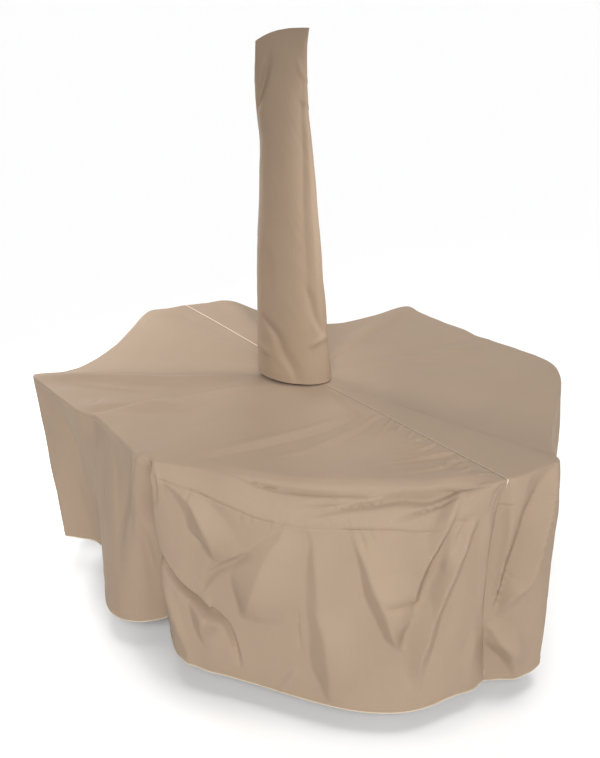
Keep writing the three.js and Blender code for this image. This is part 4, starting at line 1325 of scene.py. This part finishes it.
@dataclass
class UmbrellaSleeve:
    """The tall umbrella sleeve, sewn shut across its top.

    Attributes:
        centre: the middle of its foot, in the frame of the part.
        lean_direction: the direction in which it leans, in degrees from +X.
        around_steps: points round each ring.
        row_step: distance between rings.
        thickness: how thick the cloth is drawn.
        top_slope: how far its top is lower on one side.
        slope_from: the height from which the rings tilt that way.
        slope_over: the height over which they tilt.
        slope_power: the higher it is, the closer the low place keeps to its end.
        closed_from: the height from which the inner wall stays below the outer one.
        closed_over: the height over which it gets there.
        top_inset: how far below it stays at the top.
        least_size: smallest half width and half depth of the inner wall.
        hem_height: how high the turned-up hem reaches.
        hem_edge: the height over which it runs out.
        hem_stands_out: how far it stands out.
        hem_pulled_up: how far the hem is pulled up on one side.
        pulled_up_to: the height up to which the cloth goes with it.
        wave_circle: radius of the circle on the noise plane that a ring is laid on.
        wide_wave: height of the wide soft waves, the distance between their random values, and the seed.
        small_wave: the same for the small ones.
        calm_at: the height at which folds and waves have nearly run out.
        calm_over: the height over which they run out.
        calm_share: share of them that is left there.
        mean_radius: the radius that the flat cloth is measured with, in metres.
    """

    centre: tuple[float, float] = (2.0, -57.0)
    lean_direction: float = 57.0
    around_steps: int = 120
    row_step: float = 9.0
    thickness: float = 1.4
    top_slope: float = 48.0
    slope_from: float = 1985.0
    slope_over: float = 300.0
    slope_power: float = 3.0
    closed_from: float = 2180.0
    closed_over: float = 100.0
    top_inset: float = 8.0
    least_size: tuple[float, float] = (1.0, 0.6)
    hem_height: float = 22.0
    hem_edge: float = 2.0
    hem_stands_out: float = 1.3
    hem_pulled_up: float = 24.0
    pulled_up_to: float = 160.0
    wave_circle: float = 150.0
    wide_wave: tuple[float, float, int] = (1.6, 120.0, 11)
    small_wave: tuple[float, float, int] = (0.5, 50.0, 12)
    calm_at: float = 2283.0
    calm_over: float = 90.0
    calm_share: float = 0.15
    mean_radius: float = 0.115

    def __post_init__(self) -> None:
        """Works out the rings of points from the hem up."""
        rows = np.array(SLEEVE_SECTIONS, dtype=float)
        low, high = rows[0, 0], rows[-1, 0]
        heights = np.linspace(low, high, round((high - low) / self.row_step) + 1)
        sections = curve_through(rows[:, 0], rows, heights)
        angles = np.arange(self.around_steps) * 2 * math.pi / self.around_steps
        self.rings = self.wall(sections, angles, 0.0)
        self.inner = self.wall(sections, angles, self.thickness)
        self.heights = heights
        self.angles = angles

    def wall(self, sections: Array, angles: Array, inset: float) -> Array:
        """Makes one wall of the sleeve.

        Args:
            sections: the smooth table of sections.
            angles: places round each ring.
            inset: how far inside the outer face.

        Returns:
            Rings of points, from the hem up.
        """
        height, lean, wide, deep, direction = sections.T
        bearing = math.radians(self.lean_direction)
        turned = np.radians(direction)
        centre_x = self.centre[0] + lean * math.cos(bearing)
        centre_y = self.centre[1] + lean * math.sin(bearing)
        across = np.maximum(wide - inset, self.least_size[0])[:, None] * np.cos(angles)
        out = np.maximum(deep - inset, self.least_size[1])[:, None] * np.sin(angles)
        slope = smoothstep((height - self.slope_from) / self.slope_over)[:, None] * self.top_slope
        slope = slope * ((1 - np.cos(angles)) / 2) ** self.slope_power
        pulled = 1.0 - smoothstep((height - height[0]) / self.pulled_up_to)
        pulled = pulled[:, None] * ((1 - np.cos(angles)) / 2) ** 2 * self.hem_pulled_up
        closed = smoothstep((height - self.closed_from) / self.closed_over)[:, None]
        lower = self.top_inset * (inset > 0) * closed
        points = np.stack([
            centre_x[:, None] + across * np.cos(turned)[:, None] + out * np.sin(turned)[:, None],
            centre_y[:, None] + across * np.sin(turned)[:, None] - out * np.cos(turned)[:, None],
            height[:, None] + pulled - slope - lower - ORIGIN_HEIGHT,
        ], axis=-1)
        normals = grid_normals(points, -1.0, ring=True)
        degrees = np.degrees(angles)[None, :] + 0 * height[:, None]
        up = height[:, None] + 0 * degrees
        lift = np.zeros_like(up)
        for turn in (0.0, 360.0, -360.0):
            folds = [self.laid_flat(fold, turn) for fold in SLEEVE_FOLDS]
            lift += folds_rise(folds, -degrees * MM_PER_DEGREE, -up)
        # On the noise plane a ring is a circle that moves on with its height, so the waves close round it
        round_u = self.wave_circle * np.cos(np.radians(degrees))
        round_v = self.wave_circle * np.sin(np.radians(degrees))
        size, cell, seed = self.wide_wave
        lift += size * soft_noise(round_u + up, round_v - up * 0.6, cell, seed)
        size, cell, seed = self.small_wave
        lift += size * soft_noise(round_u * 2 + up, round_v * 2 - up, cell, seed)
        lift *= mix(self.calm_share, 1.0, smoothstep((self.calm_at - up) / self.calm_over))
        band = smoothstep((self.hem_height - (up - height[0])) / self.hem_edge)
        lift += self.hem_stands_out * band
        return points + normals * lift[..., None]

    def laid_flat(self, fold: Fold, turn: float) -> Fold:
        """Turns a fold of the table, in degrees round and in height, into millimetres of cloth.

        Args:
            fold: the fold.
            turn: degrees to be added, for the part of it that runs on past the full turn.

        Returns:
            The fold, counted the other way round and downwards, with its two sides changed over.
        """
        rows = tuple(
            (-(u + turn) * MM_PER_DEGREE, -v, rise, far, near) for u, v, rise, near, far in fold.rows
        )
        foot, far_foot = fold.foot_shares()
        return Fold(fold.name, rows, fold.crest, far_foot, foot, fold.steeper)

    def build(self) -> bpy.types.Object:
        """Closes the two walls into one cloth piece.

        Returns:
            The sleeve.
        """
        rows, columns = self.rings.shape[:2]
        half = rows * columns
        faces = grid_faces(rows, columns, 0, True, ring=True)
        faces += grid_faces(rows, columns, half, False, ring=True)
        faces += [(j, (j + 1) % columns, half + (j + 1) % columns, half + j) for j in range(columns)]
        for start, flip in (((rows - 1) * columns, False), (half + (rows - 1) * columns, True)):
            for k in range(columns // 2):
                front, front_next = start + k, start + k + 1
                back, back_next = start + (columns - k) % columns, start + columns - k - 1
                face = list(dict.fromkeys((front, back, back_next, front_next)))
                if len(face) > 2:
                    faces.append(tuple(reversed(face)) if flip else tuple(face))
        points = np.concatenate([self.rings.reshape(-1, 3), self.inner.reshape(-1, 3)]) * MM
        u = np.broadcast_to(np.abs(self.angles - math.pi) * self.mean_radius, (rows, columns))
        v = np.broadcast_to(self.heights[:, None] * MM, (rows, columns))
        flat = np.stack([u, v], axis=-1).reshape(-1, 2)
        obj = mesh_object("umbrella_sleeve_cloth", points, faces, np.concatenate([flat, flat]))
        recalculated(obj)
        obj.data.set_sharp_from_angle(angle=SHARP_ANGLE)
        return obj


@dataclass(frozen=True)
class StitchRow:
    """Stitches of the sewing thread along a line, each standing a little out of the cloth.

    Attributes:
        pitch: distance from stitch to stitch, in millimetres.
        length: length of one stitch.
        radius: half the thread's thickness, drawn a little thick so that it shows.
    """

    pitch: float = 7.0
    length: float = 5.0
    radius: float = 0.55

    def tree(self, thread: bpy.types.Material) -> bpy.types.NodeTree:
        """Builds the Geometry Nodes tree that lays stitches along a line of edges.

        Args:
            thread: the thread's material.

        Returns:
            The tree.
        """
        tree = bpy.data.node_groups.new("lay_stitches", "GeometryNodeTree")
        face = tree.interface
        face.new_socket("Line", in_out="INPUT", socket_type="NodeSocketGeometry")
        for word in ("Pitch", "Stitch Length", "Thread Radius"):
            face.new_socket(word, in_out="INPUT", socket_type="NodeSocketFloat")
        face.new_socket("Stitches", in_out="OUTPUT", socket_type="NodeSocketGeometry")
        given = tree.nodes.new("NodeGroupInput")
        curve = add_node(tree, "GeometryNodeMeshToCurve", {"Mesh": given.outputs["Line"]})
        points = add_node(
            tree, "GeometryNodeCurveToPoints",
            {"Curve": curve.outputs["Curve"], "Length": given.outputs["Pitch"]}, mode="LENGTH",
        )
        stitch = add_node(
            tree, "GeometryNodeMeshCylinder",
            {"Vertices": 6, "Radius": given.outputs["Thread Radius"],
             "Depth": given.outputs["Stitch Length"]},
        )
        laid = add_node(
            tree, "GeometryNodeInstanceOnPoints",
            {"Points": points.outputs["Points"], "Instance": stitch.outputs["Mesh"],
             "Rotation": points.outputs["Rotation"]},
        )
        real = add_node(tree, "GeometryNodeRealizeInstances", {"Geometry": laid.outputs["Instances"]})
        dressed = add_node(
            tree, "GeometryNodeSetMaterial", {"Geometry": real.outputs["Geometry"], "Material": thread},
        )
        add_node(tree, "NodeGroupOutput", {"Stitches": dressed.outputs["Geometry"]})
        return tree

    def sew(self, name: str, lines: Sequence[Array], thread: bpy.types.Material) -> bpy.types.Object:
        """Lays stitches along lines and turns them into one plain mesh.

        Args:
            name: the piece's name.
            lines: lines of points, in millimetres.
            thread: the thread's material.

        Returns:
            The stitches as one piece.
        """
        points, edges = [], []
        for line in lines:
            start = len(points)
            points += (line * MM).tolist()
            edges += [(start + k, start + k + 1) for k in range(len(line) - 1)]
        mesh = bpy.data.meshes.new(name + "_line")
        mesh.from_pydata(points, edges, [])
        guide = bpy.data.objects.new(name + "_line", mesh)
        bpy.context.scene.collection.objects.link(guide)
        tree = self.tree(thread)
        modifier = guide.modifiers.new("stitches", "NODES")
        modifier.node_group = tree
        values = {"Pitch": self.pitch, "Stitch Length": self.length, "Thread Radius": self.radius}
        for item in tree.interface.items_tree:
            if item.name in values and item.in_out == "INPUT":
                modifier[item.identifier] = values[item.name] * MM
        graph = bpy.context.evaluated_depsgraph_get()
        made = bpy.data.meshes.new_from_object(guide.evaluated_get(graph))
        made.name = name
        bpy.data.objects.remove(guide)
        obj = bpy.data.objects.new(name, made)
        bpy.context.scene.collection.objects.link(obj)
        obj.data.materials.clear()
        obj.data.materials.append(thread)
        return obj


@dataclass
class Cover:
    """The whole cover, put together from its two halves, the sleeve and the sewing.

    Attributes:
        left: the left half.
        right: the right half.
        sleeve: the sleeve.
        cloth: the cloth of the halves.
        sleeve_cloth: the cloth of the sleeve, with painted shade that darkens it towards its top.
        tape: the pale tape on the centre seam.
        thread: the sewing thread.
        ridge: the raised edge of the near seam.
        binding: the cord at the hem.
        stitches: the stitches.
        seam_height: how high the middle of a seam's trim lies over the cloth, in millimetres.
        tape_size: half the width and half the thickness of the tape.
        ridge_size: the same of the near seam's ridge.
        tack_size: the same of its bar tack.
        cord_size: the same of the hem cord.
        cord_drop: how far the cord hangs below the middle of the hem.
        strip_sides: sides of a seam's trim all round.
        cord_sides: sides of the cord all round.
        tape_end: rows that the tape runs on past the rim.
        tack_rows: rows that the bar tack runs over from the rim down.
        rows_above_hem: rows above the hem at which its stitches run and the near seam's ridge ends.
        stitch_lift: how far the stitches stand off the cloth.
        pieces: the pieces made so far.
    """

    left: HalfCover
    right: HalfCover
    sleeve: UmbrellaSleeve
    cloth: CoverCloth = field(default_factory=lambda: CoverCloth(
        "coated_woven_polyester", ShadeName.COVER))
    # The sleeve's cloth gets painted shade: its colour is darker towards its top
    sleeve_cloth: CoverCloth = field(default_factory=lambda: CoverCloth(
        "sleeve_woven_polyester", ShadeName.SLEEVE, painted_shade_per_metre=0.36, painted_shade_offset=1.1))
    tape: SewnTrim = field(default_factory=lambda: SewnTrim("cream_seam_tape", ShadeName.TAPE))
    thread: SewnTrim = field(default_factory=lambda: SewnTrim("beige_sewing_thread", ShadeName.THREAD))
    ridge: SewnTrim = field(default_factory=lambda: SewnTrim("felled_seam_edge", ShadeName.PIPING))
    binding: SewnTrim = field(default_factory=lambda: SewnTrim("cream_hem_cord", ShadeName.CORD))
    stitches: StitchRow = field(default_factory=StitchRow)
    seam_height: float = 1.9
    tape_size: tuple[float, float] = (3.0, 0.7)
    ridge_size: tuple[float, float] = (1.8, 0.8)
    tack_size: tuple[float, float] = (3.4, 1.3)
    cord_size: tuple[float, float] = (1.9, 2.3)
    cord_drop: float = 0.4
    strip_sides: int = 12
    cord_sides: int = 8
    tape_end: int = 3
    tack_rows: int = 5
    rows_above_hem: int = 4
    stitch_lift: float = 0.3
    pieces: list[bpy.types.Object] = field(default_factory=list)

    def dress(self, obj: bpy.types.Object, material: bpy.types.Material) -> bpy.types.Object:
        """Gives a piece its material, slot and body.

        Args:
            obj: the piece.
            material: its material.

        Returns:
            The piece.
        """
        if not obj.data.materials:
            obj.data.materials.append(material)
        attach(obj, BODY)
        self.pieces.append(obj)
        return obj

    def seam_trim(
        self, name: str, column: int, rows: slice, size: tuple[float, float]
    ) -> bpy.types.Object:
        """Lays a strip along the centre seam.

        Args:
            name: the piece's name.
            column: the column of both halves that meets at the seam: 0 at the near end, -1 at the far end.
            rows: the rows of the halves that it runs over.
            size: half its width and half its thickness, in millimetres.

        Returns:
            The strip.
        """
        left, right = self.left, self.right
        line = (left.outer[rows, column] + right.outer[rows, column]) / 2
        line[:, 1] = 0.0
        up = (left.normals[rows, column] + right.normals[rows, column]) / 2
        up[:, 1] = 0.0
        up /= np.linalg.norm(up, axis=-1, keepdims=True)
        across = np.zeros_like(line)
        across[:, 1] = 1.0
        return tube_object(name, line + up * self.seam_height, across, up, size, self.strip_sides)

    def hem_cord(self, name: str, half: HalfCover) -> bpy.types.Object:
        """Runs the cream cord along one half's hem.

        Args:
            name: the piece's name.
            half: the half of the cover.

        Returns:
            The cord.
        """
        loop, inner = half.outer[-1], half.inner[-1]
        out = loop - inner
        out /= np.linalg.norm(out, axis=-1, keepdims=True)
        up = np.zeros_like(out)
        up[:, 2] = 1.0
        middle = (loop + inner) / 2 - up * self.cord_drop
        return tube_object(name, middle, out, up, self.cord_size, self.cord_sides)

    def seam_trims(self) -> list[bpy.types.Object]:
        """Adds the tape on the far half of the centre seam, and the ridge and bar tack on its near half.

        Returns:
            The three trims.
        """
        rim = self.left.rim_row
        to_hem = len(self.left.outer) - self.rows_above_hem
        tape = self.seam_trim("centre_seam_tape", -1, slice(0, rim + self.tape_end), self.tape_size)
        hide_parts("seam_tape")
        self.dress(tape, self.tape.material())
        ridge = self.seam_trim("near_seam_ridge", 0, slice(0, to_hem), self.ridge_size)
        self.dress(ridge, self.ridge.material())
        tack = self.seam_trim("near_bar_tack", 0, slice(rim, rim + self.tack_rows), self.tack_size)
        self.dress(tack, self.tape.material())
        return [tape, ridge, tack]

    def hem_trims(self, side: str, half: HalfCover) -> list[bpy.types.Object]:
        """Adds one half's hem cord and its rows of stitches at the hem and along the belt seam.

        Args:
            side: left or right, for the pieces' names.
            half: the half of the cover.

        Returns:
            The three trims.
        """
        thread = self.thread.material()
        cord = self.dress(self.hem_cord(f"hem_cord_{side}", half), self.binding.material())
        sewn = [cord]
        for place, row in (("hem", len(half.outer) - self.rows_above_hem), ("belt", half.belt_row + 1)):
            line = half.line(row, self.stitch_lift)
            stitches = self.stitches.sew(f"{place}_stitches_{side}", [line], thread)
            sewn.append(self.dress(stitches, thread))
        return sewn

    def build(self) -> None:
        """Makes the cloths with their trims, the halves first and then the sleeve."""
        cloth = self.cloth.material()
        for side, half in (("left", self.left), ("right", self.right)):
            made = half.build()
            if side == "right":
                self.seam_trims()
            self.hem_trims(side, half)
            for node, obj in made.items():
                self.dress(obj, cloth)
                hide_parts(node)
        sleeve = self.dress(self.sleeve.build(), self.sleeve_cloth.material())
        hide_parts("umbrella_sleeve")


@dataclass(frozen=True)
class SoftLamp:
    """A far, wide light.

    Attributes:
        name: the lamp's name.
        azimuth: the direction it stands in, in degrees from +X.
        elevation: how high it stands, in degrees.
        strength: its strength.
        softness: how wide it looks, in degrees.
    """

    name: str
    azimuth: float
    elevation: float
    strength: float
    softness: float

    def build(self) -> None:
        """Puts the lamp into the scene."""
        data = bpy.data.lights.new(self.name, "SUN")
        data.energy = self.strength
        data.angle = math.radians(self.softness)
        obj = bpy.data.objects.new(self.name, data)
        turned = Matrix.Rotation(math.radians(self.azimuth), 4, "Z")
        obj.matrix_world = turned @ Matrix.Rotation(math.radians(90.0 - self.elevation), 4, "Y")
        bpy.context.scene.collection.objects.link(obj)


@dataclass(frozen=True)
class LightBox:
    """A round soft box a few metres off, that the camera doesn't see.

    Attributes:
        name: the lamp's name.
        azimuth: the direction it stands in, in degrees from +X.
        distance: how far off it stands, in metres.
        height: how high it stands above the origin.
        aim_height: the height that it points at, over AIM_PLACE.
        watts: its power.
        size: how wide it is.
    """

    name: str
    azimuth: float
    distance: float
    height: float
    aim_height: float
    watts: float
    size: float = 1.4

    def build(self) -> None:
        """Puts the box into the scene."""
        data = bpy.data.lights.new(self.name, "AREA")
        data.shape = "DISK"
        data.size = self.size
        data.energy = self.watts
        obj = bpy.data.objects.new(self.name, data)
        obj.visible_camera = False
        turn = math.radians(self.azimuth)
        place = Vector((self.distance * math.cos(turn), self.distance * math.sin(turn), self.height))
        away = place - Vector((*AIM_PLACE, self.aim_height))
        aimed = away.to_track_quat("Z", "Y").to_matrix().to_4x4()
        obj.matrix_world = Matrix.Translation(place) @ aimed
        bpy.context.scene.collection.objects.link(obj)


@dataclass(frozen=True)
class Studio:
    """Plain pale floor, soft light and the camera at the photograph's angle.

    Attributes:
        eye: the camera's place.
        look: the direction it looks in.
        right: its right side.
        up: its upper side.
        roll: how far it is turned about that direction, in radians.
        lens: focal length, in millimetres.
        sensor: width of its sensor.
        sight: how far it sees, in metres.
        floor_size: length of the floor's sides.
        lamps: the far lights.
        boxes: the near ones.
        sky_strength: how strongly the surround lights the cloth.
    """

    eye: tuple[float, float, float] = (3.322, -2.239, 1.525)
    look: tuple[float, float, float] = (-0.7776, 0.5157, -0.3594)
    right: tuple[float, float, float] = (0.5527, 0.8334, 0.0)
    up: tuple[float, float, float] = (-0.2996, 0.1987, 0.9332)
    roll: float = 0.0071
    lens: float = 48.42
    sensor: float = 36.0
    sight: float = 2000.0
    floor_size: float = 600.0
    lamps: tuple[SoftLamp, ...] = (
        SoftLamp("front_window", -35.0, 32.0, 2.57, 24.0),
        SoftLamp("overhead", 0.0, 84.0, 1.2, 30.0),
        SoftLamp("behind_right", 135.0, 30.0, 0.85, 30.0),
        SoftLamp("right_low", 50.0, 8.0, 1.1, 30.0),
        SoftLamp("right_above", 90.0, 58.0, 0.15, 30.0),
    )
    boxes: tuple[LightBox, ...] = (
        LightBox("front_box", -35.0, 2.6, 0.5, -0.4, 8.0),
        LightBox("rear_box", 200.0, 3.0, 0.8, 0.0, 74.0),
        LightBox("sleeve_box", 50.0, 0.95, 0.8, 1.5, 12.0, size=0.5),
    )
    sky_strength: float = 0.02

    def camera(self) -> None:
        """Puts the camera where the photograph was taken from."""
        data = bpy.data.cameras.new("camera")
        data.lens = self.lens
        data.sensor_width = self.sensor
        data.clip_end = self.sight
        right, up, look = (np.array(v) for v in (self.right, self.up, self.look))
        turned_right = right * math.cos(self.roll) + up * math.sin(self.roll)
        turned_up = up * math.cos(self.roll) - right * math.sin(self.roll)
        matrix = Matrix.Identity(4)
        for k in range(3):
            matrix[k][0], matrix[k][1], matrix[k][2], matrix[k][3] = (
                turned_right[k], turned_up[k], -look[k], self.eye[k])
        obj = bpy.data.objects.new("camera", data)
        obj.matrix_world = matrix
        bpy.context.scene.collection.objects.link(obj)
        bpy.context.scene.camera = obj

    def floor(self) -> None:
        """Lays the pale floor under the hem."""
        half = self.floor_size / 2
        level = -ORIGIN_HEIGHT * MM
        turns = ((-half, -half), (half, -half), (half, half), (-half, half))
        corners = np.array([(x, y, level) for x, y in turns])
        obj = mesh_object("floor", corners, [(0, 1, 2, 3)])
        material = bpy.data.materials.new("pale_floor")
        material.use_nodes = True
        shader = material.node_tree.nodes["Principled BSDF"]
        shader.inputs["Base Color"].default_value = linear(ShadeName.FLOOR.value)
        shader.inputs["Roughness"].default_value = 0.9
        shader.inputs["Specular IOR Level"].default_value = 0.0
        obj.data.materials.append(material)

    def lights(self) -> None:
        """Sets the lamps, the boxes and a surround that looks pale but lights the cloth faintly."""
        for lamp in (*self.lamps, *self.boxes):
            lamp.build()
        world = bpy.data.worlds.new("surround")
        world.use_nodes = True
        back = world.node_tree.nodes["Background"]
        back.inputs["Color"].default_value = (1.0, 1.0, 1.0, 1.0)
        path = add_node(world.node_tree, "ShaderNodeLightPath")
        seen = add_node(
            world.node_tree, "ShaderNodeMath",
            {"0": path.outputs["Is Camera Ray"], "1": 1.0 - self.sky_strength, "2": self.sky_strength},
            operation="MULTIPLY_ADD",
        )
        world.node_tree.links.new(seen.outputs[0], back.inputs["Strength"])
        bpy.context.scene.world = world

    def build(self) -> None:
        """Sets up the whole studio."""
        self.camera()
        self.floor()
        self.lights()
        bpy.context.scene.view_settings.view_transform = "Standard"
        bpy.context.scene.view_settings.look = "None"


def main() -> None:
    """Builds the cover and its studio, and reports each piece."""
    logging.basicConfig(level=logging.INFO, format="%(name)s: %(message)s")
    Studio().build()
    cover = Cover(
        left=HalfCover(Side.LEFT, LEFT_STATIONS, LEFT_FOLDS, near_length=1500.0),
        right=HalfCover(
            Side.RIGHT, RIGHT_STATIONS, RIGHT_FOLDS, near_length=500.0, belt_shows=((-30.0, 66.0),)
        ),
        sleeve=UmbrellaSleeve(),
    )
    cover.build()
    for piece in cover.pieces:
        log.info("%s: %d faces", piece.name, len(piece.data.polygons))


if __name__ == "__main__":
    main()
